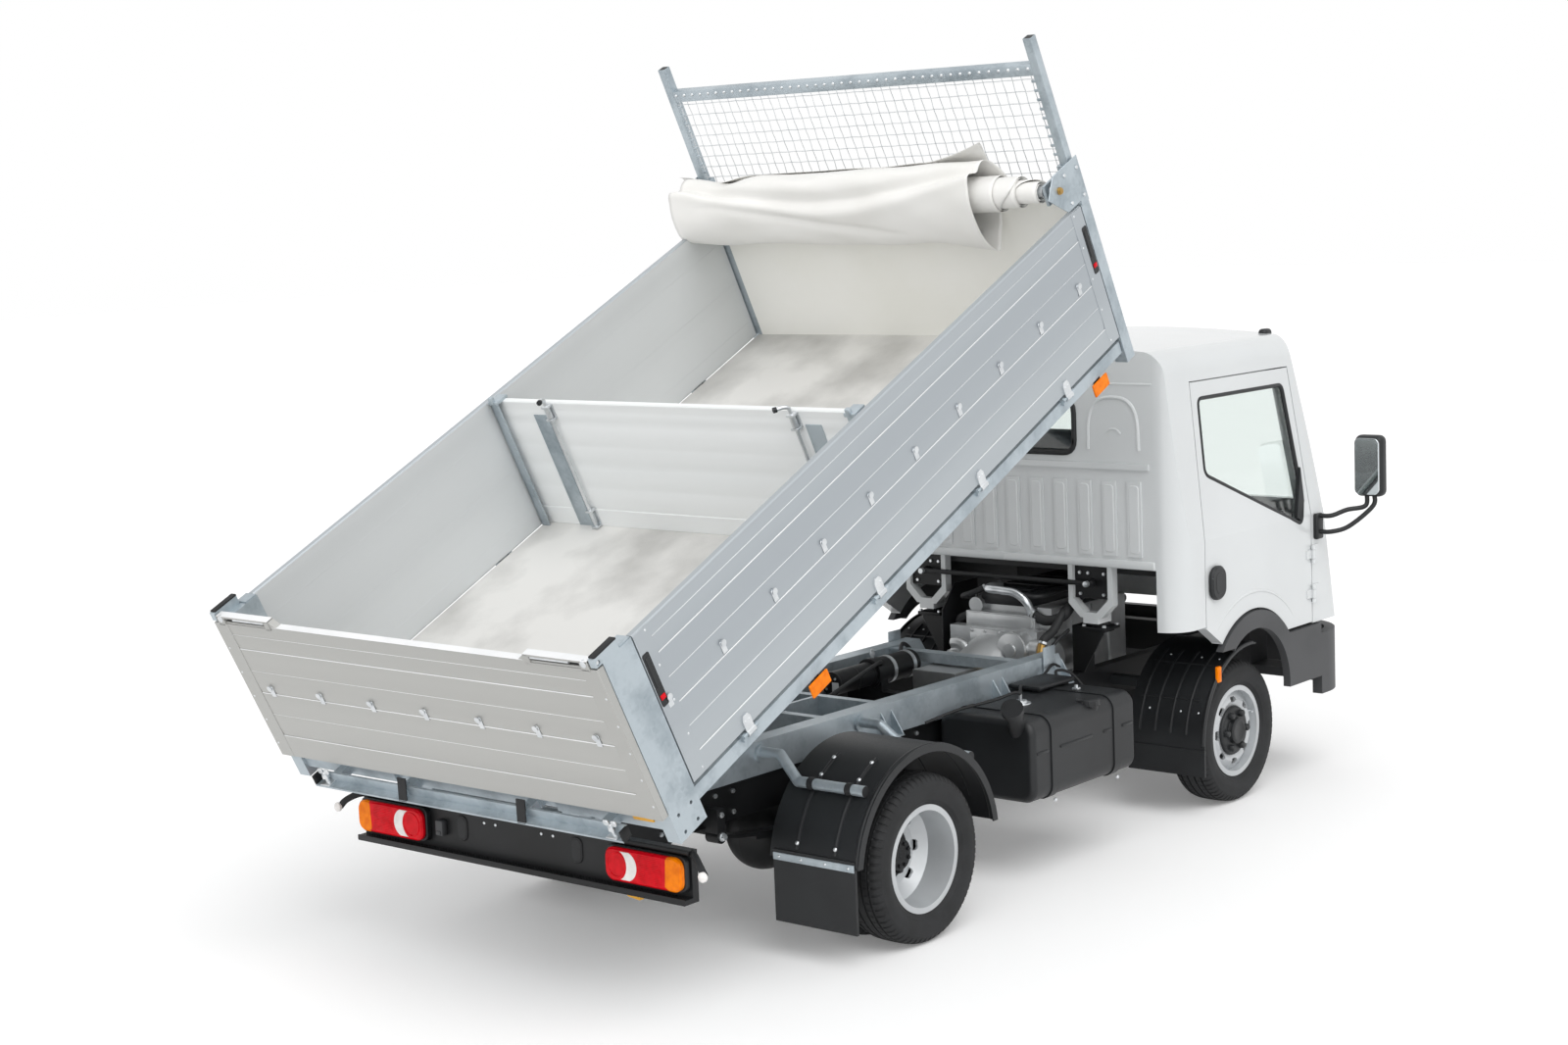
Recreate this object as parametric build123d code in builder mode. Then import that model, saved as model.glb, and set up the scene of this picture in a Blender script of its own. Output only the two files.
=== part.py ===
from build123d import *
from math import cos, radians, sin
import os

os.makedirs("parts", exist_ok=True)

# Millimetres. +X is forward, +Y is the truck's left, +Z is up, the ground is Z 0.
# The origin lies below the middle of the truck's length with the bed raised.

# Wheels
WHEELBASE = 2500
REAR_AXLE_X = -871
FRONT_AXLE_X = REAR_AXLE_X + WHEELBASE
TYRE_RADIUS = 325
TYRE_WIDTH = 195
RIM_RADIUS = 207
RIM_WIDTH = 150
WHEEL_Z = TYRE_RADIUS
FRONT_WHEEL_Y = 760
REAR_OUTER_Y = 878
REAR_INNER_Y = 655
KINGPIN_Y = 645
RUN_GAP = 0.3
MOVE_GAP = 6

# Ladder frame and tipper subframe
RAIL_Y = 390
RAIL_FLANGE = 60
RAIL_WALL = 6
RAIL_LOW_Z = 500
RAIL_TOP_Z = 650
RAIL_REAR_X = REAR_AXLE_X - 1150
RAIL_FRONT_X = FRONT_AXLE_X + 780
SUB_IN_Y = 340
SUB_OUT_Y = 420
SUB_TOP_Z = 780
SUB_REAR_X = REAR_AXLE_X - 1282
SUB_FRONT_X = REAR_AXLE_X + 1790

# Bed, in its own frame: origin on the tipping shaft, U along the floor, V square to it
BED_TIP = 26
PIVOT_X = REAR_AXLE_X - 1250
PIVOT_Z = 680
SHAFT_RADIUS = 25
FLOOR_V = 211
FLOOR_THICK = 20
BED_HALF = 990
PANEL_THICK = 30
WALL_HEIGHT = 600
GATE_U = -130
POST_LENGTH = 148
BED_LENGTH = 3210
FRONT_POST_LENGTH = 60
PARTITION_U = GATE_U + 1600
GUARD_HEIGHT = 1310
EDGE_LOW_V = FLOOR_V - 72
BEAM_LOW_V = 110
SIDE_AXIS_Y = BED_HALF + 2
SIDE_AXIS_V = FLOOR_V - 18
GATE_AXIS_V = FLOOR_V + WALL_HEIGHT + 14

# Lifting cylinder
LIFT_X = REAR_AXLE_X + 420
LIFT_Y = 130
LIFT_Z = 620
LIFT_EYE_V = 100
BARREL_RADIUS = 75
STAGE_STEP = 11
STAGE_TRAVEL_AT_REST = 187
EYE_PIN = 15
EYE_PLAY = 2.2

# Cab
CAB_HALF = 925
ROOF_HALF = 850
CAB_BACK_X = REAR_AXLE_X + 1900
CAB_WALL = 55
ROOF_Z = 2120
BELT_Z = 1250
FOOT_X = REAR_AXLE_X + 3330
FOOT_Z = 1230
HEADER_X = REAR_AXLE_X + 3020
FRONT_X = REAR_AXLE_X + 3420
CAB_LOW_Z = 740
SIDE_LOW_Z = 870
BACK_LOW_Z = 1140
ROOF_SEAM_Z = 1960
ARCH_X = FRONT_AXLE_X + 20
ARCH_Z = 500
ARCH_IN = 300
ARCH_OUT = 385
DOOR_REAR_X = REAR_AXLE_X + 2105
DOOR_FRONT_X = REAR_AXLE_X + 3060
DOOR_TOP_Z = 1945
TILT_X = REAR_AXLE_X + 3415
TILT_Z = 712
TILT_PIN = 12
BUMPER_TOP_Z = 680

# Planes of the raised bed
TIP = radians(BED_TIP)
U_DIR = (cos(TIP), 0, sin(TIP))
V_DIR = (-sin(TIP), 0, cos(TIP))
PIVOT = (PIVOT_X, 0, PIVOT_Z)
BED = Plane(origin=PIVOT, x_dir=U_DIR, z_dir=V_DIR)
BED_SIDE = Plane(origin=PIVOT, x_dir=U_DIR, z_dir=(0, -1, 0))


def bed_cross(u):
    """The plane across the bed at U, drawn in Y and V."""
    origin = (PIVOT_X + u * U_DIR[0], 0, PIVOT_Z + u * U_DIR[2])
    return Plane(origin=origin, x_dir=(0, 1, 0), z_dir=U_DIR)


def save(builder, label):
    """Names a finished piece and writes its file."""
    builder.part.label = label
    export_step(builder.part, f"parts/{label}.step")


def slab(x, y, z, mode=Mode.ADD):
    """A block between a pair of limits on each axis."""
    x, y, z = sorted(x), sorted(y), sorted(z)
    with Locations(((x[0] + x[1]) / 2, (y[0] + y[1]) / 2, (z[0] + z[1]) / 2)):
        Box(x[1] - x[0], y[1] - y[0], z[1] - z[0], mode=mode)


def across(x, y, z, radius, mode=Mode.ADD):
    """A round bar along Y between a pair of limits."""
    y = sorted(y)
    with Locations((x, (y[0] + y[1]) / 2, z)):
        Cylinder(radius, y[1] - y[0], rotation=(90, 0, 0), mode=mode)


def along(x, y, z, radius, mode=Mode.ADD):
    """A round bar along X between a pair of limits."""
    x = sorted(x)
    with Locations(((x[0] + x[1]) / 2, y, z)):
        Cylinder(radius, x[1] - x[0], rotation=(0, 90, 0), mode=mode)


def rod(start, end, radius, mode=Mode.ADD):
    """A round bar between two points."""
    run = Vector(*end) - Vector(*start)
    middle = (Vector(*end) + Vector(*start)) * 0.5
    with Locations(Plane(origin=middle, z_dir=run)):
        Cylinder(radius, run.length, mode=mode)


# Ladder frame: two channels, open side inward
with BuildPart() as frame_rails:
    for side in (1, -1):
        web = side * RAIL_Y
        hollow = side * (RAIL_Y - RAIL_WALL)
        tip = side * (RAIL_Y - RAIL_FLANGE)
        rail_x = (RAIL_REAR_X, RAIL_FRONT_X)
        slab(rail_x, (tip, web), (RAIL_LOW_Z, RAIL_TOP_Z))
        hollow_z = (RAIL_LOW_Z + RAIL_WALL, RAIL_TOP_Z - RAIL_WALL)
        slab(rail_x, (tip - side, hollow), hollow_z, Mode.SUBTRACT)
save(frame_rails, "frame_rails")

# Crossmembers between the rail flanges
CROSS_X = (RAIL_REAR_X + 40, REAR_AXLE_X - 250, REAR_AXLE_X + 760, REAR_AXLE_X + 1180, RAIL_FRONT_X - 40)
CROSS_WIDTH = 60
with BuildPart() as frame_crossmembers:
    for x in CROSS_X:
        span_y = RAIL_Y - RAIL_FLANGE
        slab((x - CROSS_WIDTH / 2, x + CROSS_WIDTH / 2), (-span_y, span_y), (RAIL_LOW_Z, RAIL_TOP_Z))
save(frame_crossmembers, "frame_crossmembers")

# Subframe rails with a sloped front end and a bore for the tipping shaft
with BuildPart() as subframe_rails:
    with BuildSketch(Plane.XZ):
        with BuildLine():
            Polyline(
                (SUB_REAR_X, RAIL_TOP_Z),
                (SUB_FRONT_X, RAIL_TOP_Z),
                (SUB_FRONT_X - 90, SUB_TOP_Z),
                (SUB_REAR_X + 30, SUB_TOP_Z),
                (SUB_REAR_X, SUB_TOP_Z - 60),
                close=True,
            )
        make_face()
    extrude(amount=SUB_OUT_Y, both=True)
    slab((SUB_REAR_X - 1, SUB_FRONT_X + 1), (-SUB_IN_Y, SUB_IN_Y), (RAIL_TOP_Z - 1, SUB_TOP_Z + 1), Mode.SUBTRACT)
    across(PIVOT_X, (-SUB_OUT_Y - 1, SUB_OUT_Y + 1), PIVOT_Z, SHAFT_RADIUS + RUN_GAP, Mode.SUBTRACT)
save(subframe_rails, "subframe_rails")

# Subframe cross pieces: tipping shaft, cylinder cradle, front tube
CRADLE_BEAM = 170
CRADLE_PLATE = 92
PLATE_THICK = 20
EAR_IN_Y = SUB_OUT_Y + 10
EAR_OUT_Y = EAR_IN_Y + 40
TRUNNION_RADIUS = 22
with BuildPart() as subframe_crossmembers:
    across(PIVOT_X, (-EAR_OUT_Y - 14, EAR_OUT_Y + 14), PIVOT_Z, SHAFT_RADIUS)
    front_tube_x = SUB_FRONT_X - 290
    slab((front_tube_x - 30, front_tube_x + 30), (-SUB_IN_Y, SUB_IN_Y), (SUB_TOP_Z - 50, SUB_TOP_Z - 6))
    for end in (1, -1):
        beam_x = LIFT_X + end * CRADLE_BEAM
        slab((beam_x - 20, beam_x + 20), (-SUB_IN_Y, SUB_IN_Y), (RAIL_TOP_Z + 10, SUB_TOP_Z - 30))
        plate_y = LIFT_Y + end * CRADLE_PLATE
        plate_x = (LIFT_X - CRADLE_BEAM - 20, LIFT_X + CRADLE_BEAM + 20)
        slab(plate_x, (plate_y, plate_y + end * PLATE_THICK), (LIFT_Z - 50, SUB_TOP_Z - 30))
    across(LIFT_X, (LIFT_Y - 150, LIFT_Y + 150), LIFT_Z, TRUNNION_RADIUS + RUN_GAP, Mode.SUBTRACT)
save(subframe_crossmembers, "subframe_crossmembers")

# Rear axle: tube, drums, spindles, offset differential and propeller shaft
SPINDLE_RADIUS = 40
DIFF_Y = -150
PROP_FRONT = (REAR_AXLE_X + 1330, -60, 450)
SPRING_Y = 460
SPRING_WIDTH = 60
SPRING_SEAT_Z = 392
with BuildPart() as rear_axle:
    across(REAR_AXLE_X, (-620, 620), WHEEL_Z, 55)
    across(REAR_AXLE_X, (-REAR_OUTER_Y + 90, REAR_OUTER_Y - 90), WHEEL_Z, SPINDLE_RADIUS)
    for side in (1, -1):
        across(REAR_AXLE_X, (side * 592, side * 690), WHEEL_Z, 148)
        seat_y = (side * (SPRING_Y - SPRING_WIDTH / 2), side * (SPRING_Y + SPRING_WIDTH / 2))
        slab((REAR_AXLE_X - 50, REAR_AXLE_X + 50), seat_y, (WHEEL_Z, SPRING_SEAT_Z))
    with Locations((REAR_AXLE_X, DIFF_Y, WHEEL_Z)):
        Sphere(150)
    rod((REAR_AXLE_X + 80, DIFF_Y, 335), (REAR_AXLE_X + 240, DIFF_Y, 358), 70)
    rod((REAR_AXLE_X + 200, DIFF_Y, 352), PROP_FRONT, 36)
save(rear_axle, "rear_axle")

# Leaf springs with their hangers on the rails
SPRING_REACH = 620
EYE_Z = 480
LEAVES = ((620, 0), (430, 13), (260, 26))
with BuildPart() as leaf_springs:
    with BuildSketch(Plane.XZ):
        for reach, drop in LEAVES:
            rise = (EYE_Z - SPRING_SEAT_Z - 26) * (reach / SPRING_REACH) ** 2
            base = SPRING_SEAT_Z + 26 - drop
            with BuildLine():
                left = (REAR_AXLE_X - reach, base + rise)
                right = (REAR_AXLE_X + reach, base + rise)
                low = ThreePointArc(left, (REAR_AXLE_X, base), right)
                high_left = (left[0], left[1] + 14)
                high_right = (right[0], right[1] + 14)
                ThreePointArc(high_left, (REAR_AXLE_X, base + 14), high_right)
                Line(left, high_left)
                Line(right, high_right)
            make_face()
        with Locations((REAR_AXLE_X, SPRING_SEAT_Z + 31)):
            Rectangle(110, 62)
        with Locations((REAR_AXLE_X - SPRING_REACH, EYE_Z + 7), (REAR_AXLE_X + SPRING_REACH, EYE_Z + 7)):
            Circle(26)
            with Locations((0, 50)):
                Rectangle(44, 110)
    extrude(amount=SPRING_Y + SPRING_WIDTH / 2, both=True)
    inner_y = SPRING_Y - SPRING_WIDTH / 2
    slab((REAR_AXLE_X - 900, REAR_AXLE_X + 900), (-inner_y, inner_y), (200, 700), Mode.SUBTRACT)
    for side in (1, -1):
        for end in (1, -1):
            hanger_x = REAR_AXLE_X + end * SPRING_REACH
            hanger_y = (side * RAIL_Y, side * (SPRING_Y + SPRING_WIDTH / 2))
            slab((hanger_x - 22, hanger_x + 22), hanger_y, (EYE_Z + 45, EYE_Z + 112))
save(leaf_springs, "leaf_springs")

# Front axle: box under the rails with an upper and a lower arm on each side
ARM_LOW = (208, 234)
ARM_HIGH = (416, 442)
PIN_RADIUS = 13
with BuildPart() as front_axle:
    slab((FRONT_AXLE_X - 60, FRONT_AXLE_X + 60), (-380, 380), (380, RAIL_LOW_Z))
    for side in (1, -1):
        slab((FRONT_AXLE_X - 60, FRONT_AXLE_X + 60), (side * 280, side * 330), (ARM_LOW[0], 400))
        for low, high in (ARM_LOW, ARM_HIGH):
            slab((FRONT_AXLE_X - 35, FRONT_AXLE_X + 35), (side * 300, side * KINGPIN_Y), (low, high))
            with Locations((FRONT_AXLE_X, side * KINGPIN_Y, (low + high) / 2)):
                Cylinder(35, high - low)
                Cylinder(PIN_RADIUS + RUN_GAP, 60, mode=Mode.SUBTRACT)
save(front_axle, "front_axle")

# Knuckles: post between the arms, pin, brake plate and spindle
for side, name in ((1, "left"), (-1, "right")):
    with BuildPart() as knuckle:
        post_low = ARM_LOW[1] + 5
        post_high = ARM_HIGH[0] - 5
        with Locations((FRONT_AXLE_X, side * KINGPIN_Y, (post_low + post_high) / 2)):
            Cylinder(30, post_high - post_low)
        with Locations((FRONT_AXLE_X, side * KINGPIN_Y, (ARM_LOW[0] + ARM_HIGH[1]) / 2)):
            Cylinder(PIN_RADIUS, ARM_HIGH[1] - ARM_LOW[0] + 10)
        across(FRONT_AXLE_X, (side * KINGPIN_Y, side * 800), WHEEL_Z, SPINDLE_RADIUS - 6)
        across(FRONT_AXLE_X, (side * 690, side * 716), WHEEL_Z, 138)
    save(knuckle, f"knuckle_{name}")


def wheel_plane(x, y):
    """The plane through a wheel's axle, drawn in width and radius."""
    return Plane(origin=(x, y, WHEEL_Z), x_dir=(0, 1, 0), z_dir=(1, 0, 0))


def wheel_axis(x, y):
    """A wheel's spin axis."""
    return Axis((x, y, WHEEL_Z), (0, 1, 0))


def add_tyre(x, y):
    """A tyre about its own middle plane."""
    half = TYRE_WIDTH / 2
    bead = RIM_WIDTH / 2 - 2 - RUN_GAP
    with BuildSketch(wheel_plane(x, y)) as profile:
        with BuildLine():
            Polyline(
                (-bead, RIM_RADIUS - 14),
                (-bead, RIM_RADIUS + 2),
                (-half, RIM_RADIUS + 50),
                (-half + 12, TYRE_RADIUS - 22),
                (-half + 34, TYRE_RADIUS),
                (half - 34, TYRE_RADIUS),
                (half - 12, TYRE_RADIUS - 22),
                (half, RIM_RADIUS + 50),
                (bead, RIM_RADIUS + 2),
                (bead, RIM_RADIUS - 14),
                close=True,
            )
        make_face()
    revolve(profile.sketch, axis=wheel_axis(x, y))


RIM_SEAT = RIM_RADIUS - 14 - RUN_GAP
RIM_WALL = 8
NUT_CIRCLE = 85


def add_rim(x, y, out, disc, bore, dish, edge):
    """A steel rim facing out: flanged barrel and a disc at offset disc that meets it at edge."""
    half = RIM_WIDTH / 2
    with BuildSketch(wheel_plane(x, y)) as profile:
        with BuildLine():
            Polyline(
                (-half, RIM_SEAT - RIM_WALL),
                (-half, RIM_RADIUS),
                (-half + 2, RIM_RADIUS),
                (-half + 2, RIM_SEAT),
                (half - 2, RIM_SEAT),
                (half - 2, RIM_RADIUS),
                (half, RIM_RADIUS),
                (half, RIM_SEAT - RIM_WALL),
                close=True,
            )
        make_face()
        with BuildLine():
            Polyline(
                (out * disc, bore),
                (out * disc, 112),
                (out * (disc + dish), 140),
                (out * edge, RIM_SEAT - 4),
                (out * (edge - 12), RIM_SEAT - 4),
                (out * (disc + dish - 12), 136),
                (out * (disc - 12), 108),
                (out * (disc - 12), bore),
                close=True,
            )
        make_face()
    revolve(profile.sketch, axis=wheel_axis(x, y))


def pierce_disc(x, y, count):
    """A ring of oval vents through a rim's disc."""
    with BuildSketch(Plane(origin=(x, y, WHEEL_Z), x_dir=(1, 0, 0), z_dir=(0, -1, 0))) as vents:
        with PolarLocations(142, count):
            SlotOverall(44, 26, rotation=90)
    extrude(vents.sketch, amount=RIM_WIDTH / 2 + 20, both=True, mode=Mode.SUBTRACT)


def add_nuts(x, y, out, face):
    """Six wheel nuts standing on the disc face."""
    with BuildSketch(Plane(origin=(x, y + out * face, WHEEL_Z), x_dir=(1, 0, 0), z_dir=(0, out, 0))) as nuts:
        with PolarLocations(NUT_CIRCLE, 6):
            RegularPolygon(15, 6)
    extrude(nuts.sketch, amount=20)


for side, name in ((1, "left"), (-1, "right")):
    with BuildPart() as tyre:
        add_tyre(FRONT_AXLE_X, side * FRONT_WHEEL_Y)
    save(tyre, f"tyre_front_{name}")
    with BuildPart() as rim:
        add_rim(FRONT_AXLE_X, side * FRONT_WHEEL_Y, side, 52, SPINDLE_RADIUS - 6 + RUN_GAP, 12, 34)
        pierce_disc(FRONT_AXLE_X, side * FRONT_WHEEL_Y, 8)
        add_nuts(FRONT_AXLE_X, side * FRONT_WHEEL_Y, side, 52)
        cap_y = side * (FRONT_WHEEL_Y + 52)
        across(FRONT_AXLE_X, (cap_y, cap_y + side * 34), WHEEL_Z, 58)
        across(FRONT_AXLE_X, (cap_y, cap_y - side * 40), WHEEL_Z, 62)
        across(FRONT_AXLE_X, (cap_y - side * 50, cap_y - side * 6), WHEEL_Z, SPINDLE_RADIUS - 6 + RUN_GAP, Mode.SUBTRACT)
    save(rim, f"rim_front_{name}")
    with BuildPart() as tyre:
        add_tyre(REAR_AXLE_X, side * REAR_OUTER_Y)
        add_tyre(REAR_AXLE_X, side * REAR_INNER_Y)
    save(tyre, f"tyres_rear_{name}")
    with BuildPart() as rim:
        middle = (REAR_OUTER_Y - REAR_INNER_Y) / 2
        add_rim(REAR_AXLE_X, side * REAR_OUTER_Y, side, -middle + 12, SPINDLE_RADIUS + RUN_GAP, 8, -48)
        add_rim(REAR_AXLE_X, side * REAR_INNER_Y, -side, -middle + 12, SPINDLE_RADIUS + RUN_GAP, 8, -48)
        pierce_disc(REAR_AXLE_X, side * REAR_OUTER_Y, 8)
        hub_y = side * (REAR_INNER_Y + middle)
        add_nuts(REAR_AXLE_X, hub_y, side, 12)
        across(REAR_AXLE_X, (hub_y, hub_y + side * 70), WHEEL_Z, 60)
        hub_cut = (hub_y - side * 80, side * (REAR_OUTER_Y - 84))
        across(REAR_AXLE_X, hub_cut, WHEEL_Z, SPINDLE_RADIUS + RUN_GAP, Mode.SUBTRACT)
    save(rim, f"rims_rear_{name}")

# Engine and gearbox, one casting line between the rails
ENGINE_REAR_X = REAR_AXLE_X + 1860
ENGINE_FRONT_X = REAR_AXLE_X + 2600
with BuildPart() as engine:
    slab((ENGINE_REAR_X, ENGINE_FRONT_X), (-190, 190), (510, 900))
    slab((ENGINE_REAR_X + 60, ENGINE_FRONT_X - 40), (-130, 130), (900, 985))
    slab((ENGINE_REAR_X - 60, ENGINE_REAR_X), (-240, 240), (470, 840))
    with Locations(Plane(origin=(ENGINE_REAR_X - 60, 0, 620), z_dir=(-1, 0, 0))):
        Cone(200, 120, 230, align=(Align.CENTER, Align.CENTER, Align.MIN))
    slab((REAR_AXLE_X + 1345, ENGINE_REAR_X - 280), (-115, 115), (520, 720))
    # Turbine housing and starter at the back, intake pipe and manifold along the left, alternator on the right
    rod((ENGINE_REAR_X - 20, -150, 765), (ENGINE_REAR_X - 130, -150, 765), 80)
    rod((ENGINE_REAR_X - 75, -150, 765), (ENGINE_REAR_X - 75, -270, 765), 42)
    rod((ENGINE_REAR_X - 20, 150, 700), (ENGINE_REAR_X - 120, 150, 700), 58)
    rod((ENGINE_REAR_X + 20, 150, 925), (ENGINE_REAR_X + 420, 175, 940), 36)
    slab((ENGINE_REAR_X + 80, ENGINE_REAR_X + 600), (185, 240), (740, 800))
    rod((ENGINE_REAR_X + 120, -180, 700), (ENGINE_REAR_X + 260, -180, 700), 85)
    slab((ENGINE_REAR_X + 30, ENGINE_REAR_X + 150), (-260, -185), (830, 935))
    along((REAR_AXLE_X + 1300, REAR_AXLE_X + 1350), -60, 560, 60)
    for side in (1, -1):
        mount_y = (side * 180, side * (RAIL_Y - RAIL_WALL))
        slab((ENGINE_REAR_X + 350, ENGINE_REAR_X + 430), mount_y, (560, 600))
save(engine, "engine")

# Exhaust on the left: silencer, pipes and hanger
MUFFLER_Y = 560
MUFFLER_Z = 430
with BuildPart() as exhaust:
    along((REAR_AXLE_X + 720, REAR_AXLE_X + 1250), MUFFLER_Y, MUFFLER_Z, 100)
    rod((REAR_AXLE_X + 1200, MUFFLER_Y - 30, MUFFLER_Z), (ENGINE_REAR_X - 60, 300, 440), 28)
    rod((REAR_AXLE_X + 760, MUFFLER_Y, MUFFLER_Z), (REAR_AXLE_X + 590, MUFFLER_Y + 290, 330), 26)
    for x in (REAR_AXLE_X + 800, REAR_AXLE_X + 1130):
        slab((x - 20, x + 20), (RAIL_Y, MUFFLER_Y), (MUFFLER_Z + 85, MUFFLER_Z + 103))
save(exhaust, "exhaust")

# Fuel tank on the right, with strap bands, brackets and filler neck
TANK_X = (REAR_AXLE_X + 800, REAR_AXLE_X + 1560)
TANK_Y = (-900, -430)
TANK_Z = (350, 690)
with BuildPart() as fuel_tank:
    slab(TANK_X, TANK_Y, TANK_Z)
    fillet(fuel_tank.edges().filter_by(Axis.X), 60)
    fillet(fuel_tank.faces().sort_by(Axis.X)[0].edges() + fuel_tank.faces().sort_by(Axis.X)[-1].edges(), 28)
    for x in (TANK_X[0] + 150, TANK_X[1] - 150):
        with BuildSketch(Plane.YZ.offset(x - 24)):
            with Locations(((TANK_Y[0] + TANK_Y[1]) / 2, (TANK_Z[0] + TANK_Z[1]) / 2)):
                RectangleRounded(TANK_Y[1] - TANK_Y[0] + 10, TANK_Z[1] - TANK_Z[0] + 10, 64)
        extrude(amount=48)
        slab((x - 24, x + 24), (TANK_Y[1] - 20, -RAIL_Y), (530, 640))
    rod((TANK_X[0] + 60, -800, 600), (TANK_X[0] - 60, -850, 740), 34)
    rod((TANK_X[0] - 60, -850, 740), (TANK_X[0] - 76, -857, 759), 46)
save(fuel_tank, "fuel_tank")

# Hydraulic unit between the rails and battery box outside the left rail
UNIT_Y = 200
UNIT_Z = 728
with BuildPart() as hydraulic_unit:
    along((REAR_AXLE_X + 880, REAR_AXLE_X + 1140), UNIT_Y, UNIT_Z, 52)
    along((REAR_AXLE_X + 1140, REAR_AXLE_X + 1200), UNIT_Y, UNIT_Z, 66)
    along((REAR_AXLE_X + 1200, REAR_AXLE_X + 1440), UNIT_Y, UNIT_Z, 60)
    slab((REAR_AXLE_X + 1150, REAR_AXLE_X + 1200), (UNIT_Y - 60, UNIT_Y + 60), (RAIL_TOP_Z, UNIT_Z))
    slab((REAR_AXLE_X + 1300, REAR_AXLE_X + 1700), (RAIL_Y, 760), (470, RAIL_TOP_Z - 10))
    slab((REAR_AXLE_X + 1290, REAR_AXLE_X + 1710), (RAIL_Y, 770), (RAIL_TOP_Z - 10, RAIL_TOP_Z))
save(hydraulic_unit, "hydraulic_unit")

# Rear mudguards: half-round skins with an outer lip and a hanging flap
GUARD_RADIUS = 440
GUARD_WALL = 6
GUARD_OUT_Y = 981
GUARD_IN_Y = 560
GUARD_LOW_Z = 385
FLAP_LOW_Z = 140
with BuildPart() as rear_mudguards:
    for side in (1, -1):
        skins = ((GUARD_IN_Y, GUARD_OUT_Y, GUARD_WALL), (GUARD_OUT_Y - GUARD_WALL, GUARD_OUT_Y, 30))
        for low, high, depth in skins:
            with BuildSketch(Plane.XZ.offset(-side * low)):
                with Locations((REAR_AXLE_X, WHEEL_Z)):
                    Circle(GUARD_RADIUS)
                    Circle(GUARD_RADIUS - depth, mode=Mode.SUBTRACT)
                with Locations((REAR_AXLE_X, GUARD_LOW_Z - 500)):
                    Rectangle(1000, 1000, mode=Mode.SUBTRACT)
            extrude(amount=-side * (high - low))
        flap_x = REAR_AXLE_X - GUARD_RADIUS + 4
        slab((flap_x - 4, flap_x + 8), (side * (GUARD_IN_Y + 20), side * (GUARD_OUT_Y - 13)), (FLAP_LOW_Z, GUARD_LOW_Z + 30))
save(rear_mudguards, "rear_mudguards")

# Tube stays: out from the subframe flange, bent down, then over the mudguard
STAY_ANGLE = 45
STAY_RADIUS = 21
STAY_FLANGE_Z = 738
STAY_BEND_Y = (520, 620)
with BuildPart() as mudguard_stays:
    for side in (1, -1):
        for end, flange_x in ((1, REAR_AXLE_X + 300), (-1, REAR_AXLE_X - 305)):
            reach = GUARD_RADIUS + STAY_RADIUS + RUN_GAP
            stay_x = REAR_AXLE_X + end * reach * sin(radians(STAY_ANGLE))
            stay_z = WHEEL_Z + reach * cos(radians(STAY_ANGLE))
            bends = (
                (flange_x, side * SUB_OUT_Y, STAY_FLANGE_Z),
                (flange_x, side * STAY_BEND_Y[0], STAY_FLANGE_Z),
                (stay_x, side * STAY_BEND_Y[1], stay_z),
                (stay_x, side * 940, stay_z),
            )
            for start, stop in zip(bends, bends[1:]):
                rod(start, stop, STAY_RADIUS)
            with Locations(bends[1], bends[2]):
                Sphere(STAY_RADIUS)
            across(flange_x, (side * SUB_OUT_Y, side * (SUB_OUT_Y + 12)), STAY_FLANGE_Z - 6, 36)
save(mudguard_stays, "mudguard_stays")

# Rear bumper with its step lip, and the lamps on it
BUMPER_HALF = 854
PLATE_X = RAIL_REAR_X
with BuildPart() as rear_bumper:
    slab((PLATE_X - 30, PLATE_X), (-BUMPER_HALF, BUMPER_HALF), (440, 615))
    slab((PLATE_X - 72, PLATE_X), (-BUMPER_HALF, BUMPER_HALF), (430, 448))
    slab((PLATE_X - 44, PLATE_X), (-BUMPER_HALF, BUMPER_HALF), (603, 615))
save(rear_bumper, "rear_bumper")
LAMP_IN_Y = 472
LAMP_OUT_Y = 846
with BuildPart() as tail_lamps:
    for side in (1, -1):
        slab((PLATE_X - 78, PLATE_X - 30), (side * LAMP_IN_Y, side * LAMP_OUT_Y), (466, 596))
    fillet(tail_lamps.edges().filter_by(Axis.X), 20)
save(tail_lamps, "tail_lamps")

# Front mudguards behind the front wheels
FRONT_GUARD = 410
with BuildPart() as front_mudguards:
    for side in (1, -1):
        with BuildSketch(Plane.XZ.offset(-side * 520)):
            with Locations((FRONT_AXLE_X, WHEEL_Z)):
                Circle(FRONT_GUARD)
                Circle(FRONT_GUARD - 8, mode=Mode.SUBTRACT)
                with Locations((500, 0)):
                    Rectangle(900, 1200, mode=Mode.SUBTRACT)
                with Locations((0, -520)):
                    Rectangle(1000, 1000, mode=Mode.SUBTRACT)
        extrude(amount=-side * 395)
        flap_x = FRONT_AXLE_X - FRONT_GUARD
        slab((flap_x - 4, flap_x + 7), (side * 520, side * 915), (200, 320))
        slab((flap_x + 66, flap_x + 120), (side * RAIL_Y, side * 530), (560, 600))
save(front_mudguards, "front_mudguards")

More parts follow.
